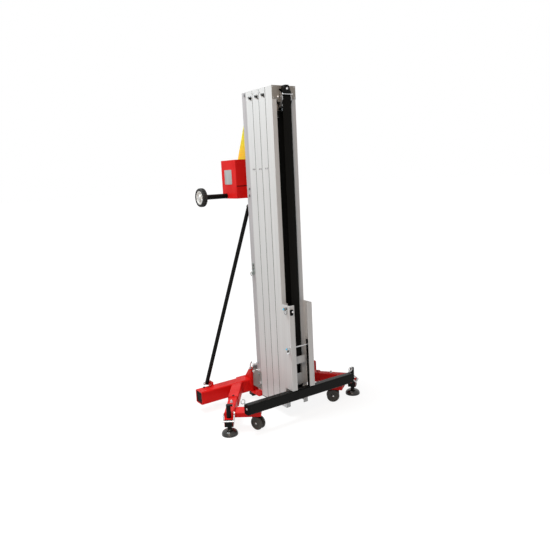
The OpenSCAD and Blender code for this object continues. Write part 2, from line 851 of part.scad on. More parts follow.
// Base frame
module socket(r) { translate([socket_x, socket_y, beam_low - cut]) cylinder(r = r, h = 2 * beam_s); }
module rear_beam() {
    mid = [beam_mid_y, beam_mid_z];
    lug_x = strut_foot_x - strut_far;
    color(red) in_frame() {
        difference() {
            union() {
                difference() {
                    along_x(-beam_len / 2, beam_len / 2) round_rect(mid, beam_s, beam_s, beam_round);
                    along_x(-beam_len, beam_len) round_rect(mid, beam_in, beam_in, beam_in_round);
                }
                intersection() {
                    along_x(-beam_len / 2, beam_len / 2) round_rect(mid, beam_s, beam_s, beam_round);
                    both_sides() socket(socket_r + socket_wall);
                }
            }
            both_sides() socket(socket_r);
        }
        both_sides() {
            box(lug_x - lug_w, lug_x, lug_front, lug_back, beam_top - beam_round, beam_top + lug_h);
            rod_x(lug_x - lug_w / 2, strut_foot_x + strut_far, strut_foot[1], strut_foot[2], strut_pin_r);
        }
        box(-rear_plate_x, rear_plate_x, beam_back - beam_wall, beam_back + rear_plate_d,
            beam_top - beam_round - rear_plate_t, beam_top - beam_round);
    }
}
module beam_end_plugs() {
    plug_x = beam_len / 2 - plug_in;
    color(black) in_frame() both_sides() along_x(plug_x - plug_t, plug_x)
        round_rect([beam_mid_y, beam_mid_z], beam_in, beam_in, beam_in_round);
}
module arm_sleeves() {
    mid = [0, leg_mid_z];
    in_w = sleeve_w - 2 * sleeve_wall;
    in_h = sleeve_h - 2 * sleeve_wall;
    color(red) in_frame() both_sides() difference() {
        leg_frame() difference() {
            along_y(sleeve_mouth, sleeve_end) round_rect(mid, sleeve_w, sleeve_h, sleeve_round);
            along_y(sleeve_mouth - cut, sleeve_end + cut)
                round_rect(mid, in_w, in_h, sleeve_round - sleeve_wall);
        }
        box(-beam_len, beam_len, beam_front, beam_front + sleeve_end, 0, 2 * beam_top);
    }
}
module yoke() {
    color(red) in_frame() {
        both_sides() along_x(yoke_x, yoke_x + yoke_t) polygon([
            [yoke_front, beam_low], [beam_front, beam_low], [beam_front, beam_top],
            [beam_back - yoke_toe, beam_top], [yoke_front + yoke_top_d, yoke_top], [yoke_front, yoke_top]]);
        box(-yoke_x - yoke_t, yoke_x + yoke_t, spine_back - tongue_under, beam_front,
            mast_lift - tongue_t, mast_lift);
    }
}
// Steel brackets bolted to the mast: one on each side of its foot, and the tie-down ring's
module mast_brackets() {
    color(steel) in_frame() {
        both_sides() {
            box(half_w, yoke_x, back_of(1), bracket_back, bracket_low, bracket_high);
            for (z = [bracket_low + bracket_bolt_in, bracket_high - bracket_bolt_in])
                rod_x(yoke_x, yoke_x + bracket_bolt_h, spine_back - bracket_bolt_in, z, bracket_bolt_r);
        }
        ring_bracket();
    }
}
module ring_bracket() {
    low = ring_z - barrel_h / 2;
    box(-half_w - bracket_t, -half_w, ring_y - ring_plate_w / 2, ring_y + ring_plate_w / 2,
        low, ring_z + ring_plate_h);
    difference() {
        box(ring_x - barrel_r, -half_w, ring_y - barrel_r, ring_y + barrel_r, low, low + barrel_h);
        translate([ring_x, ring_y, low - cut]) cylinder(r = ring_r + run_gap, h = 2 * barrel_h);
    }
}
// The ring's straight side turns in the barrel of its bracket
module d_ring() {
    color(silver) in_frame() translate([ring_x, ring_y, ring_z]) {
        intersection() {
            rotate([90, 0, 0]) rotate_extrude() translate([ring_mid_r, 0]) circle(r = ring_r);
            box(-2 * ring_mid_r, 0, -ring_mid_r, ring_mid_r, -2 * ring_mid_r, 2 * ring_mid_r);
        }
        cylinder(r = ring_r, h = 2 * ring_mid_r, center = true);
        for (s = [-1, 1]) translate([0, 0, s * ring_mid_r]) sphere(r = ring_r);
    }
}
module struts() {
    color(black) in_frame() both_sides() difference() {
        round_between(strut_foot - strut_past * strut_way, strut_head + strut_past * strut_way, strut_r);
        round_between(strut_foot + strut_plug * strut_way, strut_head - strut_plug * strut_way,
            strut_r - strut_wall);
        for (p = [strut_foot, strut_head])
            rod_x(p[0] - strut_far, p[0] + strut_far, p[1], p[2], strut_pin_r + run_gap);
    }
}
// Bracket on the spine whose two ears carry the upper ends of the struts
module strut_bracket() {
    x1 = strut_ear_x + ear_t;
    high = strut_ear_low + strut_ear_h;
    color(steel) in_frame() {
        box(-x1, x1, spine_back, spine_back + ear_t, strut_ear_low, high);
        both_sides() {
            box(strut_ear_x, x1, spine_back, strut_head[1] + strut_ear_past, strut_ear_low, high);
            rod_x(strut_ear_x, strut_head_x + strut_far, strut_head[1], strut_head[2], strut_pin_r);
        }
    }
}
module roller_bracket() {
    plate_z = beam_low - roller_plate_t;
    ear_x1 = roller_ear_x + roller_ear_t;
    color(black) in_frame() {
        box(-roller_plate_x, roller_plate_x, beam_front + roller_plate_in, beam_back - roller_plate_in,
            plate_z, beam_low);
        both_sides() difference() {
            box(roller_ear_x, ear_x1, beam_front + roller_ear_in, beam_back - roller_ear_in,
                roller_r - roller_ear_under, plate_z);
            rod_x(roller_ear_x - cut, ear_x1 + cut, beam_mid_y, roller_r, axle_r + run_gap);
        }
    }
}
module rear_rollers() {
    shaft_x = roller_ear_x + roller_ear_t - axle_short;
    color(dark_rubber) in_frame() {
        rod_x(-shaft_x, shaft_x, beam_mid_y, roller_r, axle_r);
        both_sides() rod_x(roller_in_x, roller_ear_x - roller_gap, beam_mid_y, roller_r, roller_r);
    }
}

// Legs with their caster plates and black jack collars
module post_bore() { translate([0, 0, collar_low - cut]) cylinder(r = post_r + run_gap, h = leg_high); }
module leg(side) {
    mid = [0, leg_mid_z];
    half_plate = caster_plate_w / 2;
    in_frame() on_side(side) leg_frame() {
        color(red) difference() {
            union() {
                difference() {
                    along_y(0, leg_reach) round_rect(mid, leg_w, leg_h, leg_round);
                    along_y(leg_wall, leg_reach + cut)
                        round_rect(mid, leg_w - 2 * leg_wall, leg_h - 2 * leg_wall, leg_round - leg_wall);
                }
                box(-caster_out - plate_end, -leg_w / 2 + leg_wall, caster_back - half_plate,
                    caster_back + half_plate, plate_low, caster_plate_top);
            }
            post_bore();
            translate([-caster_out, caster_back, plate_low - cut])
                cylinder(r = king_r + run_gap, h = 2 * caster_plate_t);
        }
        color(black) difference() {
            box(-collar_s / 2, collar_s / 2, -collar_s / 2, collar_s / 2, collar_low, collar_high);
            post_bore();
        }
    }
}
module left_leg() { leg(-1); }
module right_leg() { leg(1); }
module jack_post(side) {
    color(black) in_frame() on_side(side) leg_frame() {
        translate([0, 0, post_low]) cylinder(r = post_r, h = post_top - post_low);
        translate([0, 0, stem_low]) cylinder(r = stem_r, h = post_low);
        box(-handle_len, 0, -handle_w / 2, handle_w / 2, post_top - handle_h, post_top);
    }
}
module left_jack_post() { jack_post(-1); }
module right_jack_post() { jack_post(1); }
module foot(side) {
    bore_r = stem_r + run_gap;
    bore_low = stem_low - seat_gap;
    dome = [for (i = [0:foot_dome_steps], a = 90 * i / foot_dome_steps)
        [foot_neck_r + (foot_r - foot_neck_r) * cos(a), foot_rim_h + foot_dome_h * sin(a)]];
    color(dark_rubber) in_frame() on_side(side) leg_frame() rotate_extrude() polygon(concat(
        [[0, 0], [foot_r, 0]], dome,
        [[foot_top_r, foot_top], [bore_r, foot_top], [bore_r, bore_low], [0, bore_low]]));
}
module left_foot() { foot(-1); }
module right_foot() { foot(1); }
// The bail hangs in front of the post and swings up about two pivots on the leg's sides
module bail(side) {
    color(silver) in_frame() on_side(side) leg_frame() {
        for (s = [-1, 1]) {
            round_between([s * bail_x, bail_front, bail_low], [s * bail_x, bail_back, bail_high], bail_r);
            rod_x(s * bail_x - bail_r, s * bail_x + bail_r, bail_back, bail_high, bail_eye_r);
            translate([s * bail_x, bail_front, bail_low]) sphere(r = bail_r);
        }
        rod_x(-bail_x, bail_x, bail_front, bail_low, bail_r);
    }
}
module left_bail() { bail(-1); }
module right_bail() { bail(1); }

// Twin-wheel casters
module caster_at(side) {
    king_x = foot_x - caster_out * cos(leg_angle) - caster_back * sin(leg_angle);
    king_y = foot_y - caster_out * sin(leg_angle) + caster_back * cos(leg_angle);
    translate([side * king_x, king_y, 0]) rotate([0, 0, side < 0 ? left_yaw : right_yaw]) children();
}
module caster_fork(side) {
    disc_top = plate_low - seat_gap;
    disc_low = disc_top - caster_disc_t;
    half_web = caster_web_t / 2;
    color(black) in_frame() caster_at(side) {
        translate([0, 0, disc_low]) cylinder(r = caster_disc_r, h = caster_disc_t);
        translate([0, 0, disc_low]) cylinder(r = king_r, h = caster_plate_top + king_past - disc_low);
        difference() {
            union() {
                box(-half_web, half_web, -caster_trail - caster_boss_r, caster_web_front, caster_r, disc_top);
                rod_x(-half_web, half_web, -caster_trail, caster_r, caster_boss_r);
            }
            rod_x(-caster_web_t, caster_web_t, -caster_trail, caster_r, axle_r + run_gap);
        }
    }
}
module left_caster_fork() { caster_fork(-1); }
module right_caster_fork() { caster_fork(1); }
module caster_wheel(side) {
    x0 = caster_slot / 2;
    x1 = x0 + caster_tread;
    color(grey_plastic) in_frame() caster_at(side) {
        rod_x(-x0 - cut, x0 + cut, -caster_trail, caster_r, axle_r);
        both_sides() difference() {
            rod_x(x0, x1, -caster_trail, caster_r, caster_r);
            rod_x(x1 - caster_hub_in, x1 + cut, -caster_trail, caster_r, caster_hub_r);
        }
    }
}
module left_caster_wheel() { caster_wheel(-1); }
module right_caster_wheel() { caster_wheel(1); }

// Winch: an open sheet housing, the cover that closes its top and front, and what turns inside
module winch_housing() {
    color(red) in_frame() difference() {
        union() {
            both_sides() box(box_x - sheet, box_x, box_front, box_back, box_low, box_top);
            box(-box_x, box_x, box_back - sheet, box_back, box_low, box_top);
            box(-box_x, box_x, box_front, box_back, box_low, box_low + sheet);
            box(-box_x, box_x, box_front, box_front + sheet, box_low, slot_z);
        }
        rod_x(-box_w, box_w, axle_y, axle_z, wheel_axle_r);
        rod_x(-box_w, box_w, drum_y, drum_z, drum_shaft_r + run_gap);
        rod_x(0, box_w, crank_y, crank_z, crank_shaft_r + run_gap);
    }
}
module winch_cover() {
    x1 = box_x - sheet;
    hole_x = strap_w / 2 + strap_hole_side;
    color(red) in_frame() {
        difference() {
            box(-x1, x1, box_front, box_back - sheet, box_top - sheet, box_top);
            box(-hole_x, hole_x, strap_top_y - strap_hole_d, strap_top_y + strap_hole_d,
                box_top - 2 * sheet, box_top + cut);
        }
        box(-x1, x1, box_front, box_front + sheet, slot_z + slot_h, box_top);
    }
}
module winch_bracket() {
    x1 = winch_ear_x + ear_t;
    color(red) in_frame() {
        box(-x1, x1, spine_back, spine_back + ear_t, winch_ear_low, winch_ear_high);
        both_sides() box(winch_ear_x, x1, spine_back, box_front, winch_ear_low, winch_ear_high);
    }
}
module winch_drum() {
    shaft_x = box_x - shaft_short;
    color(steel) in_frame() {
        rod_x(-shaft_x, shaft_x, drum_y, drum_z, drum_shaft_r);
        rod_x(-drum_half, drum_half, drum_y, drum_z, drum_r);
        both_sides() rod_x(drum_half, drum_half + drum_flange_t, drum_y, drum_z, drum_flange_r);
    }
}
module strap_winding() {
    color(yellow) in_frame() difference() {
        rod_x(-strap_w / 2, strap_w / 2, drum_y, drum_z, winding_r);
        rod_x(-strap_w, strap_w, drum_y, drum_z, drum_r);
    }
}
// Straight-sided gear teeth, narrower than their gaps so that they run free
module gear_profile(teeth) {
    step = 360 / teeth;
    r_root = gear_module * (teeth / 2 - dedendum);
    r_tip = gear_module * (teeth / 2 + addendum);
    tooth = [[-tooth_root, r_root], [-tooth_tip, r_tip], [tooth_tip, r_tip], [tooth_root, r_root]];
    polygon([for (i = [0:teeth - 1], p = tooth) p[1] * [cos((i + p[0]) * step), sin((i + p[0]) * step)]]);
}
module drum_gear() {
    color(steel) in_frame() difference() {
        along_x(gear_x, gear_x + gear_w) translate([drum_y, drum_z]) rotate(gear_direction)
            gear_profile(drum_teeth);
        rod_x(0, box_w, drum_y, drum_z, drum_shaft_r + run_gap);
    }
}
module pinion_shaft() {
    color(steel) in_frame() {
        along_x(gear_x - pinion_past, gear_x + gear_w + pinion_past) translate([crank_y, crank_z])
            rotate(gear_direction + 180 + 180 / pinion_teeth) gear_profile(pinion_teeth);
        rod_x(gear_x - pinion_end, crank_x + crank_t, crank_y, crank_z, crank_shaft_r);
    }
}
module crank_arm() {
    x1 = crank_x + crank_t;
    arm_half = crank_end_r - crank_neck;
    cap_x = grip_x + grip_len + shaft_short;
    color(black) in_frame() {
        difference() {
            union() {
                for (z = [grip_z, crank_z]) rod_x(crank_x, x1, crank_y, z, crank_end_r);
                box(crank_x, x1, crank_y - arm_half, crank_y + arm_half, grip_z, crank_z);
            }
            rod_x(crank_x - cut, x1 + cut, crank_y, crank_z, crank_shaft_r + run_gap);
        }
        rod_x(crank_x + crank_t / 2, cap_x + grip_cap_t, crank_y, grip_z, grip_pin_r);
        rod_x(cap_x, cap_x + grip_cap_t, crank_y, grip_z, grip_cap_r);
    }
}
module crank_grip() {
    color(black) in_frame() difference() {
        rod_x(grip_x, grip_x + grip_len, crank_y, grip_z, grip_r);
        rod_x(grip_x - cut, grip_x + grip_len + cut, crank_y, grip_z, grip_pin_r + run_gap);
    }
}

// Transport wheels on their axle
module wheel_axle() {
    tube_x = wheel_inner / 2 - axle_gap;
    stub_x = wheel_inner / 2 + wheel_w;
    color(black) in_frame() {
        rod_x(-tube_x, tube_x, axle_y, axle_z, wheel_axle_r);
        rod_x(-stub_x, stub_x, axle_y, axle_z, stub_r);
    }
}
module wheel_at(side) {
    in_frame() on_side(side) translate([wheel_mid, axle_y, axle_z]) rotate([0, 90, 0]) children();
}
module tyre(side) {
    half = wheel_w / 2;
    color(dark_rubber) wheel_at(side) rotate_extrude() polygon([
        [hub_r, -half + bead_in], [wheel_r - tread_drop, -half], [wheel_r, -half + tread_edge],
        [wheel_r, half - tread_edge], [wheel_r - tread_drop, half], [hub_r, half - bead_in]]);
}
module hub(side) {
    half = wheel_w / 2;
    bore_r = stub_r + run_gap;
    boss_r = hub_boss_r + hub_taper;
    rim_r = hub_rim_r - hub_taper;
    color(silver) wheel_at(side) rotate_extrude() polygon([
        [bore_r, -half], [hub_boss_r, -half], [boss_r, -hub_disc], [rim_r, -hub_disc],
        [hub_rim_r, -half + hub_in], [hub_r, -half + hub_in], [hub_r, half - hub_in],
        [hub_rim_r, half - hub_in], [rim_r, hub_disc], [boss_r, hub_disc], [hub_boss_r, half],
        [bore_r, half]]);
}
module left_tyre() { tyre(-1); }
module left_hub() { hub(-1); }
module right_tyre() { tyre(1); }
module right_hub() { hub(1); }

rear_beam();
beam_end_plugs();
arm_sleeves();
yoke();
mast_brackets();
struts();
strut_bracket();
roller_bracket();
rear_rollers();
left_leg();
right_leg();
left_jack_post();
right_jack_post();
left_foot();
right_foot();
left_bail();
right_bail();
left_caster_fork();
right_caster_fork();
left_caster_wheel();
right_caster_wheel();
mast_section_1();
mast_section_2();
mast_section_3();
mast_section_4();
strap_pulley();
belt_pulley_2();
belt_pulley_3();
top_pulley();
top_cap();
belt_guard();
lift_belt_2();
lift_belt_3();
front_belt();
lift_strap();
strap_inner_run();
carriage_left_channel();
carriage_right_channel();
carriage_plates();
fork_bar();
bar_end_caps();
lock_pin();
lock_pin_button();
cross_rod();
cross_rod_button();
winch_housing();
winch_cover();
winch_bracket();
winch_drum();
drum_gear();
strap_winding();
pinion_shaft();
crank_arm();
crank_grip();
wheel_axle();
left_tyre();
left_hub();
right_tyre();
right_hub();
d_ring();
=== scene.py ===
import bmesh
import bpy
import numpy as np
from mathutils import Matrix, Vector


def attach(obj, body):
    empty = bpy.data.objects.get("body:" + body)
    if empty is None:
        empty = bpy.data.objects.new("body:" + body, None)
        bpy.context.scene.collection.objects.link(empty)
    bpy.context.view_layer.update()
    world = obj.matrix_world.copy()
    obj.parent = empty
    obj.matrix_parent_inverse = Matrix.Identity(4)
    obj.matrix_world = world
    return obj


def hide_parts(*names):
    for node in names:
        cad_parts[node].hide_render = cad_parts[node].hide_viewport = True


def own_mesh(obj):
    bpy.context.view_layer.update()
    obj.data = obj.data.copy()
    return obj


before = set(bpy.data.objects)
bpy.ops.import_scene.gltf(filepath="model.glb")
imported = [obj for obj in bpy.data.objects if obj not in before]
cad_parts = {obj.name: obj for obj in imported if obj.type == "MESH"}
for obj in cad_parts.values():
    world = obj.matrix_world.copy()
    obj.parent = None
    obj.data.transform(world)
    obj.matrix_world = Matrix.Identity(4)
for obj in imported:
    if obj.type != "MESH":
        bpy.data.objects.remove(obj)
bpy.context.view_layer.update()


# Rear beam, sleeves and yoke: square steel tube across the back, two sleeves welded to its front for
# the legs, and plates that hold the foot of the mast. Cut, welded and powder coated red.
def tone(red, green, blue):
    """Linear colour of an sRGB one from 0 to 255: a straight line near black, a 2.4 power above."""
    c = np.array([red, green, blue]) / 255
    c = np.where(c <= 0.04045, c / 12.92, ((c + 0.055) / 1.055) ** 2.4)
    return (*c.tolist(), 1.0)


def coating(name, pale, deep, grain, rough, metal=0.0, pits=700.0, bump=0.15, shine=0.3, clear=0.0):
    """Noise stretched by `grain` along the three axes mixes two colours and two roughness values; a
    finer, even noise is the height of the bump."""
    made = bpy.data.materials.new(name)
    made.use_nodes = True
    nodes, links = made.node_tree.nodes, made.node_tree.links
    shader = nodes["Principled BSDF"]
    shader.inputs["Metallic"].default_value = metal
    shader.inputs["Specular IOR Level"].default_value = shine
    shader.inputs["Coat Weight"].default_value = clear
    shader.inputs["Coat Roughness"].default_value = 0.12
    place = nodes.new("ShaderNodeTexCoord")
    stretch = nodes.new("ShaderNodeMapping")
    stretch.inputs["Scale"].default_value = grain
    links.new(place.outputs["Object"], stretch.inputs["Vector"])
    cloud = nodes.new("ShaderNodeTexNoise")
    cloud.inputs["Scale"].default_value = 1.0
    cloud.inputs["Detail"].default_value = 5.0
    links.new(stretch.outputs["Vector"], cloud.inputs["Vector"])
    cloud_low, cloud_high = 0.3, 0.7
    ramp = nodes.new("ShaderNodeValToRGB")
    ramp.color_ramp.elements[0].position = cloud_low
    ramp.color_ramp.elements[0].color = deep
    ramp.color_ramp.elements[1].position = cloud_high
    ramp.color_ramp.elements[1].color = pale
    links.new(cloud.outputs["Fac"], ramp.inputs["Fac"])
    links.new(ramp.outputs["Color"], shader.inputs["Base Color"])
    gloss = nodes.new("ShaderNodeMapRange")
    gloss.inputs["From Min"].default_value = cloud_low
    gloss.inputs["From Max"].default_value = cloud_high
    gloss.inputs["To Min"].default_value = rough[1]
    gloss.inputs["To Max"].default_value = rough[0]
    links.new(cloud.outputs["Fac"], gloss.inputs["Value"])
    links.new(gloss.outputs["Result"], shader.inputs["Roughness"])
    peel = nodes.new("ShaderNodeTexNoise")
    peel.inputs["Scale"].default_value = pits
    peel.inputs["Detail"].default_value = 3.0
    links.new(place.outputs["Object"], peel.inputs["Vector"])
    lift = nodes.new("ShaderNodeBump")
    lift.inputs["Strength"].default_value = bump
    lift.inputs["Distance"].default_value = 0.0004
    links.new(peel.outputs["Fac"], lift.inputs["Height"])
    links.new(lift.outputs["Normal"], shader.inputs["Normal"])
    return made


def dress(material, *names):
    """Gives CAD nodes a finish in place of their packed colour."""
    for name in names:
        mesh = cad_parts[name].data
        mesh.materials.clear()
        mesh.materials.append(material)


red_paint = coating("red_paint", tone(230, 32, 29), tone(218, 24, 23), (14, 14, 14), (0.36, 0.48),
                    pits=420, bump=0.2, shine=0.12)
dress(red_paint, "rear_beam", "arm_sleeves", "yoke")
mast_front = 245.9


def mm(points):
    """Frame metres of points in millimetres, with x across, y from the mast's front face and z up."""
    return (np.asarray(points, float) - [0, mast_front, 0]) / 1000


def skin(points):
    """Quads between neighbouring rows and columns of a grid whose last column joins its first. Gives the
    points and a list of face groups, each an array with one face in a row."""
    rows, columns = points.shape[:2]
    index = np.arange(rows * columns).reshape(rows, columns)
    index = np.hstack([index, index[:, :1]])
    quads = np.stack([index[:-1, :-1], index[:-1, 1:], index[1:, 1:], index[1:, :-1]], -1)
    return points.reshape(-1, 3), [quads.reshape(-1, 4)]


def make(name, skins, material, body, stands_for=()):
    """Joins skins into one mesh, merges their shared points, turns the faces outwards, shades edges
    flatter than the soft angle smooth and lets the piece ride on a body."""
    soft_angle = 0.6
    starts = np.cumsum([0] + [len(points) for points, _ in skins])
    faces = []
    for start, (_, groups) in zip(starts, skins):
        for group in groups:
            faces += (group + start).tolist()
    mesh = bpy.data.meshes.new(name)
    mesh.from_pydata(np.vstack([points for points, _ in skins]).tolist(), [], faces)
    shell = bmesh.new()
    shell.from_mesh(mesh)
    bmesh.ops.remove_doubles(shell, verts=shell.verts, dist=2e-6)
    bmesh.ops.dissolve_degenerate(shell, edges=shell.edges, dist=1e-6)
    bmesh.ops.recalc_face_normals(shell, faces=shell.faces)
    shell.to_mesh(mesh)
    shell.free()
    mesh.polygons.foreach_set("use_smooth", np.ones(len(mesh.polygons), bool))
    mesh.set_sharp_from_angle(angle=soft_angle)
    mesh.materials.append(material)
    piece = bpy.data.objects.new(name, mesh)
    bpy.context.scene.collection.objects.link(piece)
    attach(piece, body)
    if stands_for:
        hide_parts(*stands_for)
    return piece


def wire(path, radius, flat, sides=12, closed=False):
    """A circle carried along a flat path: path + radius * (cos t * side + sin t * flat), where flat is the
    plane's normal and side lies in the plane, square to the path. Open ends close to a point."""
    path = np.asarray(path, float)
    ahead = np.roll(path, -1, 0) - np.roll(path, 1, 0) if closed else np.gradient(path, axis=0)
    ahead /= np.linalg.norm(ahead, axis=1, keepdims=True)
    flat = np.asarray(flat, float) / np.linalg.norm(flat)
    side = np.cross(flat, ahead)
    turn = np.linspace(0, 2 * np.pi, sides, endpoint=False)
    radius = np.broadcast_to(radius, len(path))[:, None, None]
    hoops = path[:, None] + radius * (np.cos(turn)[None, :, None] * side[:, None]
                                      + np.sin(turn)[None, :, None] * flat)
    if closed:
        hoops = np.concatenate([hoops, hoops[:1]])
    else:
        tips = np.repeat(path[[0, -1]][:, None], sides, 1)
        hoops = np.concatenate([tips[:1], hoops, tips[1:]])
    return skin(mm(hoops))


def seam(start, end, flat, radius=3.2, ripple=5.0, swell=0.12):
    """A weld bead: a round seam whose radius rises and falls by a sine, one wave per `ripple` of length,
    with four hoops to a wave."""
    start, end = np.asarray(start, float), np.asarray(end, float)
    waves = np.linalg.norm(end - start) / ripple
    along = np.linspace(0, 1, max(6, int(waves * 4)))[:, None]
    thickness = 1 + swell * np.sin(along[:, 0] * waves * 2 * np.pi)
    return wire(start + along * (end - start), radius * thickness, flat, 8)


beam_front, beam_top, bead_top = 386, 138, 134
sleeve_x, sleeve_low, sleeve_top = (157.5, 236.5), 74, 136
yoke_x, yoke_low, yoke_lap = 95, 56, (395, 456)
welds = []
for s in (-1, 1):
    corner_y, top_y = beam_front - 1, beam_front + 0.5
    welds += [seam((s * x, corner_y, sleeve_low), (s * x, corner_y, bead_top), (0, 1, 0)) for x in sleeve_x]
    welds.append(seam(*[(s * x, top_y, sleeve_top) for x in sleeve_x], (0, 0, 1)))
    welds.append(seam(*[(s * yoke_x, beam_front, z) for z in (yoke_low, bead_top)], (0, 1, 0)))
    welds.append(seam(*[(s * yoke_x, y, beam_top) for y in yoke_lap], (0, 0, 1)))
make("frame_welds", welds, red_paint, "base")


# Beam plugs and screws: black plastic plugs pressed into the open ends of the beam, with a moulded rib
# pattern, and black screw heads on the beam's top face and on the sleeves.
black_plastic = coating("black_plastic", tone(24, 24, 23), tone(15, 15, 14), (60, 60, 60), (0.42, 0.55),
                        pits=1500, bump=0.2, shine=0.05)
dress(black_plastic, "beam_end_plugs")


def lathe(outline, foot, axis, sides=28):
    """An outline of (height, radius) pairs turned about an axis: foot + height * axis + radius *
    (cos t * u + sin t * v), where u and v are square to the axis."""
    outline = np.asarray(outline, float)
    axis = np.asarray(axis, float) / np.linalg.norm(axis)
    u = np.cross(axis, (0, 0, 1) if abs(axis[2]) < 0.9 else (1, 0, 0))
    u /= np.linalg.norm(u)
    v = np.cross(axis, u)
    turn = np.linspace(0, 2 * np.pi, sides, endpoint=False)[None, :, None]
    height, radius = outline[:, 0, None, None], outline[:, 1, None, None]
    around = np.cos(turn) * u + np.sin(turn) * v
    return skin(mm(np.asarray(foot, float) + height * axis + radius * around))


def dome(foot, axis, radius, height):
    """A round screw head: a wall up to a share of the height, then a quarter ellipse up to the middle. Its
    lower end is sunk in what it sits on."""
    sunk, wall = -1, 0.3
    quarter = np.linspace(0, np.pi / 2, 8)
    curve = np.stack([height * (wall + (1 - wall) * np.sin(quarter)), radius * np.cos(quarter)], 1)
    return lathe(np.vstack([[(sunk, 0), (sunk, radius)], curve]), foot, axis, 20)


plug_x, rib_y, rib_z, rib_radius, long_wave = 448.5, (396, 459), (78, 96, 114), 1.6, 400
ribs = [seam(*[(s * plug_x, y, z) for y in rib_y], (1, 0, 0), rib_radius, long_wave)
        for s in (-1, 1) for z in rib_z]
make("plug_ribs", ribs, black_plastic, "base")
leg_foot, lean = (467, 22), np.radians(36.6)


def on_leg(side, across, along, up):
    """A point of a leg's own frame: across the leg, along it from the foot, and up, with the first two
    turned by the leg's lean about the foot; side mirrors it."""
    across, along, up = np.broadcast_arrays(*map(np.asarray, (across, along, up)))
    return np.stack([side * (leg_foot[0] + across * np.cos(lean) - along * np.sin(lean)),
                     leg_foot[1] + across * np.sin(lean) + along * np.cos(lean), up], -1)


screw_x, screw_y, sleeve_screw = 397.8, 456.6, 237
heads = [dome((s * screw_x, screw_y, beam_top), (0, 0, 1), radius=8, height=5) for s in (-1, 1)]
heads += [dome(on_leg(s, 0, sleeve_screw, beam_top), (0, 0, 1), radius=7, height=4) for s in (-1, 1)]
make("beam_screws", heads, black_plastic, "base")


# Steel brackets, struts and rear rollers: bent zinc-plated plates bolted to the mast, black tubes pinned
# between the beam's lugs and the spine, and two rubber rollers under the beam for tilting the hoist back.
def hexagon(foot, axis, radius, height):
    """A hexagon head on its washer: a low round disc, then six flat sides with a chamfered top."""
    sunk, seat, wide, thick = -1, 1, radius * 1.35, 1.6
    shoulder, crown = height * 0.85, radius * 0.86
    washer = lathe([(sunk, 0), (sunk, wide), (thick, wide), (thick, 0)], foot, axis, 24)
    head = [(seat, 0), (seat, radius), (shoulder, radius), (height, crown), (height, 0)]
    return [washer, lathe(head, foot, axis, 6)]


bracket_zinc = coating("bracket_zinc", tone(160, 171, 169), tone(140, 150, 148), (30, 30, 12), (0.4, 0.54),
                       metal=0.1, pits=900, bump=0.04)
black_paint = coating("black_paint", tone(15, 15, 13), tone(9, 9, 8), (18, 18, 18), (0.22, 0.32),
                      pits=600, bump=0.15, shine=0.1)
black_rubber = coating("black_rubber", tone(46, 45, 43), tone(27, 27, 26), (40, 40, 40), (0.5, 0.7),
                       pits=1800, bump=0.3, shine=0.15)
bright_steel = coating("bright_steel", tone(226, 227, 228), tone(178, 179, 180), (180, 180, 180), (0.2, 0.34),
                       metal=0.7, pits=1200, bump=0.05)
dress(bracket_zinc, "mast_brackets", "strut_bracket")
dress(black_paint, "struts", "roller_bracket")
dress(black_rubber, "rear_rollers")
lug_x, strut_pin_y, strut_pin_z = 382, 481.8, 152
nuts = sum([hexagon((s * lug_x, strut_pin_y, strut_pin_z), (s, 0, 0), radius=8, height=8)
            for s in (-1, 1)], [])
make("frame_nuts", nuts, bright_steel, "base")


# Latches of the yoke: bright wire hooks from the tops of the yoke plates to the spine, one on each side.
# Each is bent from round bar, with a pin head at both ends.
def bent(corners, radius, steps=7):
    """A path through corners; each inner corner becomes the curve (1-t)^2 a + 2t(1-t) corner + t^2 b
    between the points a and b that lie `radius` before and after it."""
    corners = np.asarray(corners, float)
    t = np.linspace(0, 1, steps)[:, None]
    runs = [corners[:1]]
    for before, corner, after in zip(corners[:-2], corners[1:-1], corners[2:]):
        a = corner + radius * (before - corner) / np.linalg.norm(before - corner)
        b = corner + radius * (after - corner) / np.linalg.norm(after - corner)
        runs.append((1 - t) ** 2 * a + 2 * t * (1 - t) * corner + t ** 2 * b)
    return np.vstack(runs + [corners[-1:]])


hook = [(374, 214), (372, 244), (350, 270), (328, 255), (304, 267)]
hook_x, hook_bend, hook_radius, spine_pin_x = 98, 9, 4.0, 84
spine_pin = [(0, 0), (0, 7), (14, 7), (17, 5), (17, 0)]
yoke_pin = [(-6, 0), (-6, 6), (7, 6), (9, 4), (9, 0)]
yoke_pin_z = 216
latches = []
for s in (-1, 1):
    latches += [wire(bent([(s * hook_x, y, z) for y, z in hook], hook_bend), hook_radius, (1, 0, 0)),
                lathe(spine_pin, (s * spine_pin_x, *hook[-1]), (s, 0, 0)),
                lathe(yoke_pin, (s * hook_x, hook[0][0], yoke_pin_z), (s, 0, 0))]
make("yoke_latches", latches, bright_steel, "base")


# Legs and jacks: square red tubes that slide in the sleeves, each with a round black screw post in a
# black collar at its end, a bail of bright wire hung over it, and a lock pin and a bolt on the leg.
dress(red_paint, "left_leg", "right_leg")
dress(black_paint, "left_jack_post", "right_jack_post")
dress(bright_steel, "left_bail", "right_bail")


def squared(half, corner, count=40):
    """Outline of a square with round corners: each point of a circle, pushed out to the square's corner."""
    t = np.linspace(0, 2 * np.pi, count, endpoint=False)
    c, s = np.cos(t), np.sin(t)
    straight = half - corner
    return np.stack([np.clip(c * 2 * half, -straight, straight) + corner * c,
                     np.clip(s * 2 * half, -straight, straight) + corner * s], 1)


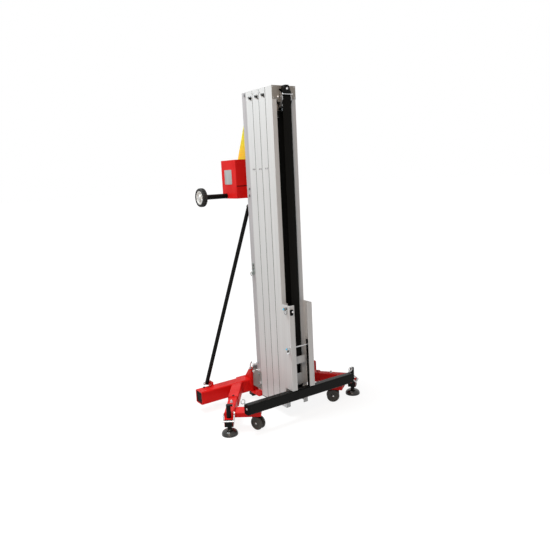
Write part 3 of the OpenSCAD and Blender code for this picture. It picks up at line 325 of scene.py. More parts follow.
collar_half, collar_corner, collar_taper, post_bore = 25.6, 4, 0.96, 13.4
collar_low, collar_edge, collar_top = 55, 98, 101
outer, inner = squared(collar_half, collar_corner), squared(post_bore, post_bore)
rings = [(outer, collar_low), (outer, collar_edge), (outer * collar_taper, collar_top), (inner, collar_top),
         (inner, collar_low), (outer, collar_low)]
lock = [(0, 0), (0, 9), (4, 9), (5, 6.5), (13, 6.5), (17, 4), (18, 0)]
lock_along, leg_top = 142, 132.5
bolt_across, bolt_along, bolt_z = -27, 120, 105
for side, s in (("left", -1), ("right", 1)):
    collar = np.stack([on_leg(s, ring[:, 0], ring[:, 1], z) for ring, z in rings])
    make(side + "_jack_collar", [skin(mm(collar))], black_paint, side + "_leg")
    inwards = on_leg(s, -1, 0, 0) - on_leg(s, 0, 0, 0)
    leg_lock = [lathe(lock, on_leg(s, 0, lock_along, leg_top), (0, 0, 1))]
    leg_lock += hexagon(on_leg(s, bolt_across, bolt_along, bolt_z), inwards, radius=6, height=6)
    make(side + "_leg_lock", leg_lock, bright_steel, side + "_leg")


# Feet: dome-shaped pads of black rubber under the jack posts, moulded with a rim and two rings, glossy
# from the mould, with a socket for the post.
foot_rubber = coating("foot_rubber", tone(58, 56, 53), tone(30, 29, 28), (30, 30, 30), (0.2, 0.34),
                      pits=900, bump=0.1, clear=0.4)
rim_top, dome_height, neck_radius, dome_reach = 8, 23, 16, 31
groove_z, groove_depth, groove_width = (17, 25), 0.7, 1.2
quarter = np.linspace(0, np.pi / 2, 22)
rise, reach = rim_top + dome_height * np.sin(quarter), neck_radius + dome_reach * np.cos(quarter)
reach -= sum(groove_depth * np.exp(-((rise - z) / groove_width) ** 2) for z in groove_z)
rim = [(0.0, 0.0), (0.0, 45.5), (1.5, 47.0), (6.5, 47.0), (rim_top, 45.8)]
neck_top, socket_floor, socket_radius = 33.6, 21.8, 8.2
socket = [(neck_top, 14.0), (neck_top, socket_radius), (socket_floor, socket_radius), (socket_floor, 0.0)]
pad = np.vstack([rim, np.stack([rise, reach], 1)[1:], socket])
for side, s in (("left", -1), ("right", 1)):
    make(side + "_foot_pad", [lathe(pad, on_leg(s, 0, 0, 0), (0, 0, 1), 64)], foot_rubber, side + "_jack",
         (side + "_foot",))


# Casters: swivelling twin wheels of grey plastic with a dished face, a raised hub and a bright axle end,
# on a black fork that a king bolt holds under the leg.
wheel_plastic = coating("wheel_plastic", tone(78, 76, 72), tone(60, 58, 55), (50, 50, 50), (0.4, 0.55),
                        pits=1100, bump=0.2)
dress(black_paint, "left_caster_fork", "right_caster_fork")
wheel_radius, hub_face, trail = 40, 20.8, 22
disc = [(7, 0), (7, 36), (8.5, 38.8), (11, wheel_radius), (17, wheel_radius), (19.5, 38.6), (21, 35),
        (20.6, 31), (17.5, 29.5), (17.2, 15), (20.2, 13), (hub_face, 8), (hub_face, 0)]
spacer = [(-8, 0), (-8, 5), (8, 5), (8, 0)]
king_across, king_along, king_top = -141, 76, 115
for side, s, yaw in (("left", -1, 19), ("right", 1, -124)):
    king = on_leg(s, king_across, king_along, 0)
    roll = np.array([np.cos(np.radians(yaw)), np.sin(np.radians(yaw)), 0])
    hub = king + trail * np.array([roll[1], -roll[0], 0]) + [0, 0, wheel_radius]
    twins = [lathe(disc, hub, w * roll, 56) for w in (-1, 1)] + [lathe(spacer, hub, roll)]
    make(side + "_twin_wheel", twins, wheel_plastic, side + "_caster_wheel",
         (side + "_caster_wheel",))
    ends = [dome(hub + w * hub_face * roll, w * roll, radius=5.5, height=2.5) for w in (-1, 1)]
    make(side + "_axle_ends", ends, bright_steel, side + "_caster_wheel")
    king_nut = hexagon(king + [0, 0, king_top], (0, 0, 1), radius=10, height=8)
    make(side + "_king_nut", king_nut, bright_steel, side + "_caster")


# Mast sections: aluminium extrusions, drawn with fine lines along their length and anodised. Steel catches
# and screws sit on the side walls, each catch over a black triangle of painted shadow, and hexagon bolts on
# the spine of the fixed section.
mast_aluminium = coating("mast_aluminium", tone(226, 228, 229), tone(210, 211, 212), (260, 260, 1.4),
                         (0.44, 0.56), metal=0.05, pits=500, bump=0.05)
dress(mast_aluminium, "mast_section_1", "mast_section_2", "mast_section_3", "mast_section_4")


def cut_sheet(outline, origin, u, v, w, depth):
    """A flat outline of (u, v) points pushed along w by a depth: two flat faces and the wall between."""
    outline = np.asarray(outline, float)
    u, v, w = np.asarray(u, float), np.asarray(v, float), np.asarray(w, float)
    base = np.asarray(origin, float) + outline[:, :1] * u + outline[:, 1:] * v
    points, walls = skin(mm(np.stack([base, base + depth * w])))
    return points, walls + [np.arange(2 * len(outline)).reshape(2, -1)]


def side_sheet(outline, s, x, depth):
    """An outline of (y, z) points in the upright plane at s * x, pushed by a depth towards the side s."""
    return cut_sheet(outline, (s * x, 0, 0), (0, 1, 0), (0, 0, 1), (s, 0, 0), depth)


catch_steel = coating("catch_steel", tone(158, 159, 160), tone(112, 113, 114), (180, 180, 180), (0.2, 0.34),
                      metal=0.85, pits=1200, bump=0.05)
mast_half, pitch = 80, 67.6
shelf = np.array([(8, 1896), (42, 1898), (42, 1904), (8, 1902)])
# A black triangle under each catch: painted shadow beneath the catch.
catch_shadow = np.array([(8, 1895.5), (41, 1897.5), (41, 1893), (17, 1886), (8, 1878)])
shelf_out, catch_shadow_out = 4, 3
wall_screw_y, wall_screw_z = (12, 29), 1487
outer_sections = (("base", 1, 3 * pitch), ("section_2", 2, 2 * pitch), ("section_3", 3, pitch))
for body, section, front in outer_sections:
    catch, catch_shadows = [], []
    for s in (-1, 1):
        catch.append(side_sheet(shelf + [front, 0], s, mast_half, shelf_out))
        catch += [dome((s * mast_half, front + y, wall_screw_z), (s, 0, 0), radius=4.5, height=3)
                  for y in wall_screw_y]
        catch_shadows.append(side_sheet(catch_shadow + [front, 0], s, mast_half, catch_shadow_out))
    make(f"mast_catch_{section}", catch, catch_steel, body)
    make(f"mast_catch_shadow_{section}", catch_shadows, black_plastic, body)
spine_places = ((285, 1372), (289, 1331), (286, 1918))
spine = sum([hexagon((s * mast_half, y, z), (s, 0, 0), radius=6, height=5)
             for s in (-1, 1) for y, z in spine_places], [])
bracket_face, ring_plate_y, ring_bolt_z = 82, 291.8, (884, 904)
spine += sum([hexagon((-bracket_face, ring_plate_y, z), (-1, 0, 0), radius=5.5, height=4.5)
              for z in ring_bolt_z], [])
make("spine_bolts", spine, catch_steel, "base")


# Foot of the mast: hexagon bolts through the brackets on both sides, a zinc-plated angle across the yoke
# behind the spine, and red steel toes welded to the yoke beside the mast.
zinc_plate = coating("zinc_plate", tone(192, 195, 195), tone(172, 175, 175), (30, 30, 12), (0.36, 0.5),
                     metal=0.1, pits=900, bump=0.04)
anchor_places = ((bracket_face, 359, 198), (mast_half, 291, 222), (bracket_face, 281, 141))
anchors = sum([hexagon((s * x, y, z), (s, 0, 0), radius=8.5, height=7)
               for s in (-1, 1) for x, y, z in anchor_places], [])
make("bracket_bolts", anchors, bright_steel, "base")
angle_half, angle_y, angle_z = 79.8, 372, 200
angle = np.array([(-15, 33), (-15, 36), (4, 36), (4, 0), (0, 0), (0, 33)]) + [angle_y, angle_z]
cross_angle = side_sheet(angle, 1, -angle_half, 2 * angle_half)
make("yoke_cross_angle", [cross_angle], zinc_plate, "base")
toe, toe_x, toe_wide = [(272, 58.6), (332, 58.6), (332, 79), (290, 89), (272, 89)], 80.8, 13
make("yoke_toes", [side_sheet(toe, s, toe_x, toe_wide) for s in (-1, 1)], red_paint, "base")


# Trim of the mast: darker strips on the sides of the spine that paint the shade of its recessed face, black
# strips in the gaps between the sections that paint the shadow in those gaps, and black plastic shoes under
# the fixed section. The shoes are pressed on.
def rectangle(left, low, right, high):
    """The four corners of a rectangle, from its left and low sides to its right and high ones."""
    return [(left, low), (right, low), (right, high), (left, high)]


def tall_strip(outline, low, height):
    """An outline of (x, y) points drawn straight up from a low end by a height."""
    return cut_sheet(outline, (0, 0, low), (1, 0, 0), (0, 1, 0), (0, 0, 1), height)


# Darker strips on the spine's sides: painted shade of its recessed face.
spine_shade = coating("spine_shade", tone(196, 194, 197), tone(178, 176, 179), (260, 260, 1.4),
                          (0.42, 0.55), metal=0.12, pits=500, bump=0.05)
strip, strip_x, strip_thick = rectangle(270.5, 60, 313.8, 1933), 79.8, 0.6
make("spine_shade_strips", [side_sheet(strip, s, strip_x, strip_thick) for s in (-1, 1)], spine_shade, "base")
# T-shaped black strips set in the gaps between the sections: painted shadow of the gaps.
tee = np.array([(77, -0.7), (80.1, -0.7), (80.1, -1.3), (80.5, -1.3), (80.5, 1.3), (80.1, 1.3), (80.1, 0.7),
                (77, 0.7)])
gap_shade_low, gap_shade_height, gap_middle = 61, 1871, 0.8
for body, section, front in outer_sections:
    gap_shades = [tall_strip(tee * [s, 1] + [0, front - gap_middle], gap_shade_low, gap_shade_height) for s in (-1, 1)]
    make(f"gap_shade_{section}", gap_shades, black_rubber, body)
shoe, shoe_x, shoe_thick = rectangle(203.6, 56, 268.6, 60.8), 79.6, 0.8
make("mast_shoes", [side_sheet(shoe, s, shoe_x, shoe_thick) for s in (-1, 1)], black_plastic, "base")


# Shade and stops of the front section: black sheets inside the channel, with two short side pieces at its
# head and black faces on the stops, paint the deep shade there; grey rubber pads and plates sit above the
# stops.
def front_sheet(outline, s, y, depth):
    """An outline of (s * x, z) points in the upright plane at y, pushed backwards by a depth, or forwards
    where the depth is negative."""
    return cut_sheet(outline, (0, y, 0), (s, 0, 0), (0, 0, 1), (0, 1, 0), depth)


buffer_rubber = coating("buffer_rubber", tone(142, 135, 126), tone(118, 112, 104), (40, 40, 40), (0.5, 0.65),
                        pits=1200, bump=0.2, shine=0.1)
# Black sheets along the channel of the front section: painted shade inside it.
shade_out, shade_in, shade_front, shade_back = 74.6, 73.8, 11.5, 59.6
shade_thick = shade_out - shade_in
shade_outline = [(-shade_out, shade_front), (-shade_out, shade_back), (shade_out, shade_back),
         (shade_out, shade_front), (shade_in, shade_front), (shade_in, shade_back - shade_thick),
         (-shade_in, shade_back - shade_thick), (-shade_in, shade_front)]
shade_low, shade_height = 62, 1742
shade_head_outline = np.array([(38, 40.5), (38, 39.8), (shade_in, 39.8), (shade_in, shade_front),
                       (shade_out, shade_front), (shade_out, 40.5)])
shade_head_low, shade_head_height = 1842, 30
channel_shade_sheets = [tall_strip(shade_outline, shade_low, shade_height)]
channel_shade_sheets += [tall_strip(shade_head_outline * [s, 1], shade_head_low, shade_head_height) for s in (-1, 1)]
make("channel_shade", channel_shade_sheets, black_plastic, "section_4")
# Black faces on the stops: painted shade, like the sheets in the channel.
stop_y, stop_shade_outline, stop_shade_thick = 5.7, rectangle(33, 1763.4, 73.5, 1797), 0.5
stop_shade_faces = [front_sheet(stop_shade_outline, s, stop_y, -stop_shade_thick) for s in (-1, 1)]
make("stop_shade_faces", stop_shade_faces, black_plastic, "section_4")
pad_front, pad_thick = rectangle(38.5, 1798, 73.5, 1834), 20
back_plate, back_thick = rectangle(38.5, 1804.5, 73, 1841), 0.8
buffers = [front_sheet(pad_front, s, stop_y, pad_thick) for s in (-1, 1)]
buffers += [front_sheet(back_plate, s, shade_back, -back_thick) for s in (-1, 1)]
make("stop_buffers", buffers, buffer_rubber, "section_4")


# Pulleys, top cap and guard: turned aluminium pulleys on steel axles, a pressed steel cap over the head of
# the front section, a black guard with a bright bolt and pin, black plastic covers on the cap's cheeks, and a
# black sheet of painted shade behind the pulley inside the cap.
pulley_aluminium = coating("pulley_aluminium", tone(205, 206, 207), tone(168, 168, 168), (4, 300, 300),
                           (0.2, 0.35), metal=0.9, pits=600, bump=0.05)
bare_steel = coating("bare_steel", tone(158, 154, 147), tone(138, 134, 127), (22, 22, 6), (0.42, 0.55),
                     metal=0.25, pits=900, bump=0.1)
dress(pulley_aluminium, "strap_pulley", "belt_pulley_2", "belt_pulley_3", "top_pulley")
dress(bare_steel, "top_cap")
dress(black_paint, "belt_guard")
cap_front, cap_rivet_x, cap_rivet_z = -3, 72, (1927, 1869)
cap_bolt_x, cap_bolt_z, guard_bolt = 43, 1873, (0, -33.7, 1914)
guard_pin_y, guard_pin_z, pin_half, pin_head_x = -35.2, 1884, 28, 27.5
pin_head = [(0, 0), (0, 3), (2, 4.2), (6, 4.2), (7.5, 2.5), (7.5, 0)]
pin_bar = [(-pin_half, 0), (-pin_half, 2), (pin_half, 2), (pin_half, 0)]
top_axle_x, top_axle_y, top_axle_z = 37.4, 20.3, 1862
head = [dome(guard_bolt, (0, -1, 0), radius=7, height=6),
        lathe(pin_bar, (0, guard_pin_y, guard_pin_z), (1, 0, 0))]
for s in (-1, 1):
    head += [dome((s * cap_rivet_x, cap_front, z), (0, -1, 0), radius=2.6, height=1.6) for z in cap_rivet_z]
    head += [lathe(pin_head, (s * pin_head_x, guard_pin_y, guard_pin_z), (s, 0, 0)),
             dome((s * top_axle_x, top_axle_y, top_axle_z), (s, 0, 0), radius=9, height=6),
             dome((s * cap_bolt_x, cap_front, cap_bolt_z), (0, -1, 0), radius=6, height=6)]
make("cap_screws", head, bright_steel, "section_4")
cheek_in, cheek_out, cheek_back, cheek_low, cheek_high = 32.5, 36.5, 56, 1831.6, 1846
cover = 0.6
cheek_edge = np.array([(cheek_in, cap_front - cover), (cheek_out + cover, cap_front - cover),
                       (cheek_out + cover, cheek_back), (cheek_out, cheek_back), (cheek_out, cap_front),
                       (cheek_in, cap_front)])
covers = [tall_strip(cheek_edge * [s, 1], cheek_low, cheek_high - cheek_low) for s in (-1, 1)]
lip_inner, lip_outer, lip_x, lip_wide = 52.0, 53.5, 28.6, 3.6
for start, stop in ((100, 140), (191, 236)):
    arc = np.radians(np.linspace(start, stop, 12))
    ring = np.stack([np.cos(arc), np.sin(arc)], 1)
    lip = np.vstack([lip_outer * ring, lip_inner * ring[::-1]]) + [top_axle_y, top_axle_z]
    covers += [side_sheet(lip, s, lip_x, lip_wide) for s in (-1, 1)]
# A black sheet behind the pulley inside the cap: painted shade where the head would show through.
cap_shade_sheet, cap_shade_y, cap_shade_thick = rectangle(-32, 1912, 32, 1930.6), 45, 1
covers.append(front_sheet(cap_shade_sheet, 1, cap_shade_y, cap_shade_thick))
make("cheek_covers_and_cap_shade", covers, black_plastic, "section_4")


# Lifting belts: flat woven black belts, clamped in each section, that run over the pulleys. The front run
# of each hangs down from its pulley, and the rear run stands behind its section.
def webbing(name, pale, deep, warp, weft, rough, thin=0.0, glow=0.0):
    """Woven cloth: two square-set waves, across the belt and along it, are multiplied into the bump
    height and paint shade into the hollows between the threads; `thin` lets light through, `glow` is painted
    light: the cloth glows as if lit."""
    made = bpy.data.materials.new(name)
    made.use_nodes = True
    nodes, links = made.node_tree.nodes, made.node_tree.links
    shader = nodes["Principled BSDF"]
    shader.inputs["Roughness"].default_value = rough
    shader.inputs["Sheen Weight"].default_value = 0.03
    shader.inputs["Specular IOR Level"].default_value = 0.05
    shader.inputs["Subsurface Weight"].default_value = thin
    shader.inputs["Subsurface Radius"].default_value = (1.0, 1.0, 0.9)
    shader.inputs["Subsurface Scale"].default_value = 0.006
    # Painted light: the emission makes the cloth glow yellow as if it were lit.
    shader.inputs["Emission Color"].default_value = (1.0, 0.88, 0.12, 1.0)
    shader.inputs["Emission Strength"].default_value = glow
    place = nodes.new("ShaderNodeTexCoord")
    threads = []
    for direction, count in (("X", warp), ("Z", weft)):
        wave = nodes.new("ShaderNodeTexWave")
        wave.bands_direction = direction
        wave.inputs["Scale"].default_value = count
        wave.inputs["Distortion"].default_value = 0.6
        wave.inputs["Detail Scale"].default_value = 3.0
        links.new(place.outputs["Object"], wave.inputs["Vector"])
        threads.append(wave.outputs["Fac"])
    weave = nodes.new("ShaderNodeMath")
    weave.operation = "MULTIPLY"
    links.new(threads[0], weave.inputs[0])
    links.new(threads[1], weave.inputs[1])
    # Painted shade: the ramp darkens the hollows between the threads towards the deep tone.
    ramp = nodes.new("ShaderNodeValToRGB")
    ramp.color_ramp.elements[0].color = deep
    ramp.color_ramp.elements[1].position = 0.6
    ramp.color_ramp.elements[1].color = pale
    links.new(weave.outputs["Value"], ramp.inputs["Fac"])
    links.new(ramp.outputs["Color"], shader.inputs["Base Color"])
    lift = nodes.new("ShaderNodeBump")
    lift.inputs["Strength"].default_value = 0.35
    lift.inputs["Distance"].default_value = 0.0006
    links.new(weave.outputs["Value"], lift.inputs["Height"])
    links.new(lift.outputs["Normal"], shader.inputs["Normal"])
    return made


def ribbon(path, width, thick):
    """A flat band with rounded edges carried along a path in the y-z plane: path + n * normal, with x and n
    from the band's section, and both ends closed."""
    path = np.asarray(path, float)
    ahead = np.gradient(path, axis=0)
    ahead /= np.linalg.norm(ahead, axis=1, keepdims=True)
    normal = np.stack([-ahead[:, 1], ahead[:, 0]], 1)
    half, edge = width / 2, thick / 2
    x = np.array([half - edge, half - 0.3 * edge, half, half - 0.3 * edge, half - edge])
    n = edge * np.array([1, 0.7, 0, -0.7, -1])
    x, n = np.concatenate([x, -x]), np.concatenate([n, -n])
    rows = np.empty((len(path), len(x), 3))
    rows[:, :, 0] = x
    rows[:, :, 1:] = path[:, None] + n[None, :, None] * normal[:, None]
    ends = rows[[0, -1]].mean(1, keepdims=True).repeat(len(x), 1)
    return skin(mm(np.concatenate([ends[:1], rows, ends[1:]])))


belt_webbing = webbing("belt_webbing", tone(27, 27, 25), tone(13, 13, 12), warp=190, weft=330, rough=0.7)
belt_width, belt_thick, rear_end = 56, 1.9, 714.5
half_turn = np.linspace(0, np.pi, 25)
for node, body, joint, y, z, r, foot, keep in (
        ("front_belt", "section_4", "carriage_slide", top_axle_y, top_axle_z, 47.3, 375.5, 0.287),
        ("lift_belt_2", "section_2", "section_3_slide", 189.5, 1910, 13.3, 99.5, 0.414),
        ("lift_belt_3", "section_3", "section_4_slide", 121.9, 1910, 13.3, 99.5, 0.414)):
    over = np.stack([y + r * np.cos(half_turn), z + r * np.sin(half_turn)], 1)
    rear = np.stack([np.full(20, y + r), np.linspace(rear_end, z, 20)], 1)[:-1]
    run = np.stack([np.full(40, y - r), np.linspace(z, foot, 40)], 1)
    make(node + "_turn", [ribbon(np.vstack([rear, over]), belt_width, belt_thick)], belt_webbing, body)
    front_run = make(node + "_run", [ribbon(run, belt_width, belt_thick)], belt_webbing, body,
                     (node,))
    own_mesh(front_run)


# Winch strap: yellow polyester webbing, wound on the drum, that comes up out of the winch, turns over the
# strap pulley and runs down inside the fixed section to the foot of section 2.
# glow=0.2 is painted light: the strap glows yellow as if lit.
yellow_webbing = webbing("yellow_webbing", tone(255, 240, 98), tone(254, 232, 86), warp=210, weft=300,
                         rough=0.75, thin=1.0, glow=0.2)
strap_width, strap_thick, strap_middle = 64, 1.9, 1.3
drum, drum_radius = np.array([477.8, 1455.0]), 50
sheave, sheave_radius = np.array([290.0, 1894.0]), 34
gap = sheave - drum
lead = np.arctan2(-gap[0], gap[1]) + np.arcsin((drum_radius - sheave_radius) / np.linalg.norm(gap))
leave = np.array([np.cos(lead), np.sin(lead)])
over_drum, over_sheave = drum_radius + strap_middle, sheave_radius + strap_middle
climb = np.linspace(0, 1, 40)[:, None]
slope = (drum + over_drum * leave) * (1 - climb) + (sheave + over_sheave * leave) * climb
wrap = np.linspace(lead, np.pi, 25)[1:]
top = sheave + over_sheave * np.stack([np.cos(wrap), np.sin(wrap)], 1)
make("strap_climb", [ribbon(np.vstack([slope, top]), strap_width, strap_thick)], yellow_webbing, "base",
     ("lift_strap",))
strap_end = 99.5
inside = np.stack([np.full(40, sheave[0] - over_sheave), np.linspace(sheave[1], strap_end, 40)], 1)
inner_strap = make("strap_inside", [ribbon(inside, strap_width, strap_thick)], yellow_webbing, "base",
                   ("strap_inner_run",))
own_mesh(inner_strap)
coil_turns, coil_radius, coil_layer = 8.5, 49, 2.05
wound = np.linspace(-coil_turns * 2 * np.pi, 0, 420)
coil_reach = coil_radius + coil_layer * wound / (2 * np.pi)
coil = drum + coil_reach[:, None] * np.stack([np.cos(lead + wound), np.sin(lead + wound)], 1)
make("strap_coil", [ribbon(coil, strap_width, strap_thick)], yellow_webbing, "drum",
     ("strap_winding",))


# Carriage and its pins: aluminium channels with two quick-release steel pins through the left one, each with
# a blue button and a pull ring, and beside each pin a spring plunger with a bright ball on a black block.
blue_plastic = coating("blue_plastic", tone(112, 226, 255), tone(92, 206, 246), (80, 80, 80), (0.25, 0.35),
                       pits=900, bump=0.05)
dress(mast_aluminium, "carriage_left_channel", "carriage_right_channel", "carriage_plates")
dress(catch_steel, "lock_pin")
dress(bright_steel, "cross_rod")
dress(blue_plastic, "lock_pin_button", "cross_rod_button")
ball_middle, ball_radius = 7, 6
swing = np.linspace(-0.6, np.pi / 2, 12)
ball = np.vstack([[(2, 0), (2, 3.5), (3.4, 4.6)],
                  np.stack([ball_middle + ball_radius * np.sin(swing), ball_radius * np.cos(swing)], 1)])
block_thick = 5
knobs, balls = [], []
for foot, axis, across, half_sizes, ball_place in (
        ((-69, -76, 662), (0, -1, 0), (1, 0, 0), (10, 17), (-66, -79, 666)),
        ((-81, -43, 426), (-1, 0, 0), (0, 1, 0), (7, 9), (-76, -50, 415))):
    block = squared(1, 0.3, 32) * half_sizes
    knobs.append(cut_sheet(block, foot, across, (0, 0, 1), axis, block_thick))
    balls.append(lathe(ball, ball_place, axis))
make("plunger_knobs", knobs, black_plastic, "carriage")
make("plunger_balls", balls, bright_steel, "carriage")


# Fork bar: a black steel tube across the front, hung from two flat uprights in the carriage, with plastic
# end caps held by a bright screw and an eye at each end.
dress(black_paint, "fork_bar")
dress(black_plastic, "bar_end_caps")
cap_screw = (393, -57.6, 156)
eye_x, eye_y, eye_z, eye_radius, eye_wire = 403, -36, 198, 12.5, 2.9
post_x, post_foot, eye_post = 391, 180.5, [(-1, 0), (-1, 5), (3, 5), (3, 3), (8, 3), (8, 0)]
ring_turn = np.linspace(0, 2 * np.pi, 32, endpoint=False)
eyes = []
for s in (-1, 1):
    eye = np.stack([s * eye_x + eye_radius * np.cos(ring_turn), np.full(32, eye_y),
                    eye_z + eye_radius * np.sin(ring_turn)], 1)
    eyes += [dome((s * cap_screw[0], *cap_screw[1:]), (s, 0, 0), radius=6.5, height=3),
             wire(eye, eye_wire, (0, 1, 0), closed=True),
             lathe(eye_post, (s * post_x, eye_y, post_foot), (0, 0, 1))]
make("bar_eyes", eyes, bright_steel, "carriage")


# Winch: a red sheet-metal housing with a dark slot and a rolled lip under its cover, a steel drum and gears
# inside, a bare plate riveted to the left side, screws, and a crank with a ribbed plastic grip on the right.
dress(red_paint, "winch_housing", "winch_cover", "winch_bracket")
dress(bare_steel, "winch_drum", "drum_gear", "pinion_shaft")
dress(black_paint, "crank_arm")
housing_side, plate_y, plate_z, plate_thick = 115, 477, 1448, 1.2
plate_half_y, plate_half_z = 44, 45
plate = squared(1.0, 0.08, 48) * [plate_half_y, plate_half_z] + [plate_y, plate_z]
rivet_x, rivet_y, rivet_z = -116, 38, 39
sign = [side_sheet(plate, -1, housing_side, plate_thick)]
sign += [dome((rivet_x, plate_y + rivet_y * v, plate_z + rivet_z * w), (-1, 0, 0), radius=2.6, height=1.6)
         for v in (-1, 1) for w in (-1, 1)]
make("bare_plate", sign, zinc_plate, "base")
bearing = [(-1, 8.4), (-1, 17), (3, 17), (4, 15), (4, 8.4), (-1, 8.4)]
crank_shaft = (418.7, 1507.1)
bearings = [lathe(bearing, (housing_side, y, z), (1, 0, 0)) for y, z in (drum, crank_shaft)]
make("winch_bearings", bearings, bare_steel, "base")
slot_edge, slot_y, slot_depth = rectangle(-112, 1388.4, 112, 1393.6), 382.2, 0.9
make("housing_slot", [front_sheet(slot_edge, 1, slot_y, -slot_depth)], black_plastic, "base")
lip_half, lip_y, lip_z, lip_radius = 113, 381.6, 1387.2, 1.3
lip = seam((-lip_half, lip_y, lip_z), (lip_half, lip_y, lip_z), (0, 0, 1), lip_radius, long_wave)
make("housing_lip", [lip], red_paint, "base")
side_bolts = ((394, 1330), (394, 1537), (546, 1537))
rear_face, rear_screw_x, rear_screw_z = 558.8, (-101, 0, 101), (1372, 1538)
bolts = sum([hexagon((housing_side, y, z), (1, 0, 0), radius=5, height=4) for y, z in side_bolts], [])
bolts += [dome((x, rear_face, z), (0, 1, 0), radius=4.5, height=3)
          for x in rear_screw_x for z in rear_screw_z]
make("winch_screws", bolts, bright_steel, "base")
grip_foot, grip_length, grip_radius, grip_bore = (138.5, 418.726, 1357.079), 105, 12.6, 5.3
belly, rib_height, rib_pitch = 1.2, 0.6, 7
x = np.linspace(0, grip_length, 90)
swell = grip_radius + belly * np.sin(np.pi * x / grip_length)
swell += rib_height * np.cos(2 * np.pi * x / rib_pitch)
grip = np.vstack([[(0, grip_bore)], np.stack([x, swell], 1), [(grip_length, grip_bore), (0, grip_bore)]])
make("ribbed_grip", [lathe(grip, grip_foot, (1, 0, 0), 40)], black_plastic, "crank_grip",
     ("crank_grip",))


# Transport wheels: black rubber tyres with a block tread on pale plastic hubs with five spokes, on a black
# steel axle through the back of the winch, with a bright cap on each of its ends.
tyre_rubber = coating("tyre_rubber", tone(40, 39, 38), tone(25, 25, 24), (40, 40, 40), (0.55, 0.75),
                      pits=1400, bump=0.3)
hub_white = coating("hub_white", tone(232, 232, 230), tone(218, 218, 216), (40, 40, 40), (0.36, 0.5),
                    pits=900, bump=0.05)
dress(black_paint, "wheel_axle")


def about_axle(middle, across, reach):
    """A grid round the wheel's axle: middle + across * x + reach * (cos t * y + sin t * z), with a row for
    each place across and a column for each turn t."""
    around = np.linspace(0, 2 * np.pi, reach.shape[1], endpoint=False)
    across = np.broadcast_to(across, reach.shape)
    return skin(mm(middle + np.stack([across, reach * np.cos(around), reach * np.sin(around)], -1)))


def tyre(middle):
    """A tyre as a function of turn and place across: a barrel section whose crown is cut by grooves where
    a square wave of the turn, shifted from the middle to the edges, is low."""
    half = np.array([(-14, 42), (-16, 46), (-17, 50.5), (-16, 54), (-13, 56.3), (-10, 57.5), (-6, 58),
                     (-2, 58), (-1.4, 55.8)])
    across, radius = np.vstack([half, half[::-1] * [-1, 1], half[:1]]).T[..., None]
    blocks, slant, tread_from, tread_depth = 24, 0.12, 53, 2.2
    around = np.linspace(0, 2 * np.pi, 144, endpoint=False)
    block = np.cos(blocks * around + slant * np.abs(across))
    groove_from, groove_slope = 0.35, 4
    groove = np.clip((-block - groove_from) * groove_slope, 0, 1) * (radius > tread_from)
    return about_axle(middle, across, radius - tread_depth * groove)


def spoked(middle):
    """A hub as a function of turn and radius: the face height falls into five pockets between the spokes,
    smoothly at their edges, and the same face closes the other side."""
    radius, height = np.array([(8.2, 0), (8.2, 17), (15, 17), (16.5, 15.5), (18, 12), (21, 11), (24, 10.5),
                               (28, 10.5), (31, 11), (33, 12), (35, 13), (36.5, 14), (41.9, 14)]).T[..., None]
    spokes, spoke_from, spoke_slope = 5, 0.55, 3
    pocket_from, pocket_to, pocket_depth, pocket_edge = 17, 35, 2.5, 2.5
    around = np.linspace(0, 2 * np.pi, 120, endpoint=False)
    between = np.clip((spoke_from - np.cos(spokes * around)) * spoke_slope, 0, 1)
    inside_rim = np.clip(np.minimum(radius - pocket_from, pocket_to - radius) / pocket_edge, 0, 1)
    face = height - pocket_depth * between * inside_rim
    reach = np.broadcast_to(radius, face.shape)
    return about_axle(middle, np.vstack([face, -face[::-1]]), np.vstack([reach, reach[::-1]]))


wheel_x, wheel_y, wheel_z, cap_x = 296, 509.8, 1332, 312.5
for side, s in (("left", -1), ("right", 1)):
    middle = np.array([s * wheel_x, wheel_y, wheel_z])
    make(side + "_block_tyre", [tyre(middle)], tyre_rubber, side + "_wheel", (side + "_tyre",))
    make(side + "_spoked_hub", [spoked(middle)], hub_white, side + "_wheel", (side + "_hub",))
    axle_cap = dome((s * cap_x, wheel_y, wheel_z), (s, 0, 0), radius=11, height=3)
    make(side + "_axle_cap", [axle_cap], bright_steel, "base")


# Tie-down ring: a bright D of round bar that swings in its bracket on the left of the spine.
# It is bent from steel bar and plated.
dress(bright_steel, "d_ring")


# Studio: a pale floor that keeps a soft shadow, a white surround, a cool lamp overhead on the left, a larger,
# warm one at the upper left in front, and a camera at the photograph's viewing angle.
def white_surround(made):
    """Clears the nodes of a world or material and adds a switch between two shaders: the first for plain
    light, the second for camera, glossy and transmission rays."""
    made.use_nodes = True
    nodes, links = made.node_tree.nodes, made.node_tree.links
    nodes.clear()
    rays = nodes.new("ShaderNodeLightPath")
    seen = nodes.new("ShaderNodeMath")
    seen.operation = "MAXIMUM"
    links.new(rays.outputs["Is Camera Ray"], seen.inputs[0])
    links.new(rays.outputs["Is Glossy Ray"], seen.inputs[1])
    seen_too = nodes.new("ShaderNodeMath")
    seen_too.operation = "MAXIMUM"
    links.new(seen.outputs["Value"], seen_too.inputs[0])
    links.new(rays.outputs["Is Transmission Ray"], seen_too.inputs[1])
    choose = nodes.new("ShaderNodeMixShader")
    links.new(seen_too.outputs["Value"], choose.inputs["Fac"])
    return nodes, links, choose


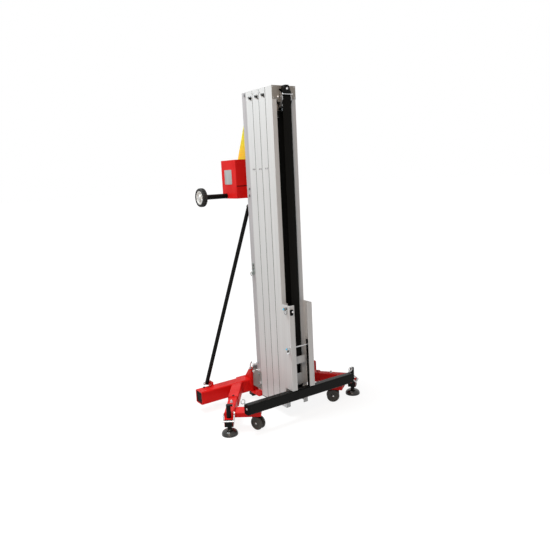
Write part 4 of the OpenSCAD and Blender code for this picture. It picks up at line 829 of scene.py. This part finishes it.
world = bpy.data.worlds.new("white_studio")
nodes, links, choose = white_surround(world)
lit = nodes.new("ShaderNodeBackground")
lit.inputs["Color"].default_value = (0.97, 0.98, 1.0, 1.0)
lit.inputs["Strength"].default_value = 0.2
shown = nodes.new("ShaderNodeBackground")
shown.inputs["Color"].default_value = (1.0, 1.0, 1.0, 1.0)
shown.inputs["Strength"].default_value = 1.0
links.new(lit.outputs["Background"], choose.inputs[1])
links.new(shown.outputs["Background"], choose.inputs[2])
end = nodes.new("ShaderNodeOutputWorld")
links.new(choose.outputs["Shader"], end.inputs["Surface"])
bpy.context.scene.world = world
pale_floor = bpy.data.materials.new("pale_floor")
nodes, links, choose = white_surround(pale_floor)
matt = nodes.new("ShaderNodeBsdfDiffuse")
matt.inputs["Color"].default_value = (0.8, 0.8, 0.8, 1.0)
glow = nodes.new("ShaderNodeEmission")
place = nodes.new("ShaderNodeTexCoord")
away = nodes.new("ShaderNodeVectorMath")
away.operation = "LENGTH"
links.new(place.outputs["Object"], away.inputs[0])
brighten = nodes.new("ShaderNodeMapRange")
brighten.inputs["From Min"].default_value = 0.4
brighten.inputs["From Max"].default_value = 1.6
brighten.inputs["To Min"].default_value = 0.88
brighten.inputs["To Max"].default_value = 1.0
links.new(away.outputs["Value"], brighten.inputs["Value"])
links.new(brighten.outputs["Result"], glow.inputs["Strength"])
veil = nodes.new("ShaderNodeBsdfDiffuse")
veil.inputs["Color"].default_value = (0.2, 0.2, 0.2, 1.0)
both = nodes.new("ShaderNodeAddShader")
links.new(glow.outputs["Emission"], both.inputs[0])
links.new(veil.outputs["BSDF"], both.inputs[1])
links.new(matt.outputs["BSDF"], choose.inputs[1])
links.new(both.outputs["Shader"], choose.inputs[2])
end = nodes.new("ShaderNodeOutputMaterial")
links.new(choose.outputs["Shader"], end.inputs["Surface"])
floor_half, floor_z = 60, -0.001
ground = bpy.data.meshes.new("floor")
corners = [(x, y, floor_z) for x, y in rectangle(-floor_half, -floor_half, floor_half, floor_half)]
ground.from_pydata(corners, [], [(0, 1, 2, 3)])
ground.materials.append(pale_floor)
floor = bpy.data.objects.new("floor", ground)
bpy.context.scene.collection.objects.link(floor)


def lamp(name, where, aim, size, power, colour):
    """A square area lamp at a place, turned to face its aim."""
    light = bpy.data.lights.new(name, "AREA")
    light.size, light.energy, light.color = size, power, colour
    lamp_object = bpy.data.objects.new(name, light)
    bpy.context.scene.collection.objects.link(lamp_object)
    lamp_object.location = where
    lamp_object.rotation_euler = (Vector(aim) - Vector(where)).to_track_quat("-Z", "Y").to_euler()


lamp("key_lamp", (-1.2, 0.5, 4.4), aim=(0, 0, 1.0), size=1.6, power=140, colour=(0.89, 0.97, 1.0))
lamp("fill_lamp", (-2.6, -2.4, 3.4), aim=(0, 0, 0.9), size=2.0, power=60, colour=(1.0, 0.77, 0.6))
sensor_width, focal_pixels, image_pixels = 36.0, 569.06, 550
lens = bpy.data.cameras.new("camera")
lens.sensor_width, lens.lens = sensor_width, focal_pixels * sensor_width / image_pixels
camera = bpy.data.objects.new("camera", lens)
bpy.context.scene.collection.objects.link(camera)
camera.matrix_world = Matrix(((0.82568, 0.13692, -0.54727, -1.9121),
                                 (-0.56198, 0.11493, -0.81913, -2.9311),
                                 (-0.04926, 0.98389, 0.17184, 1.444), (0, 0, 0, 1)))
bpy.context.scene.camera = camera
bpy.context.scene.view_settings.view_transform = "Standard"
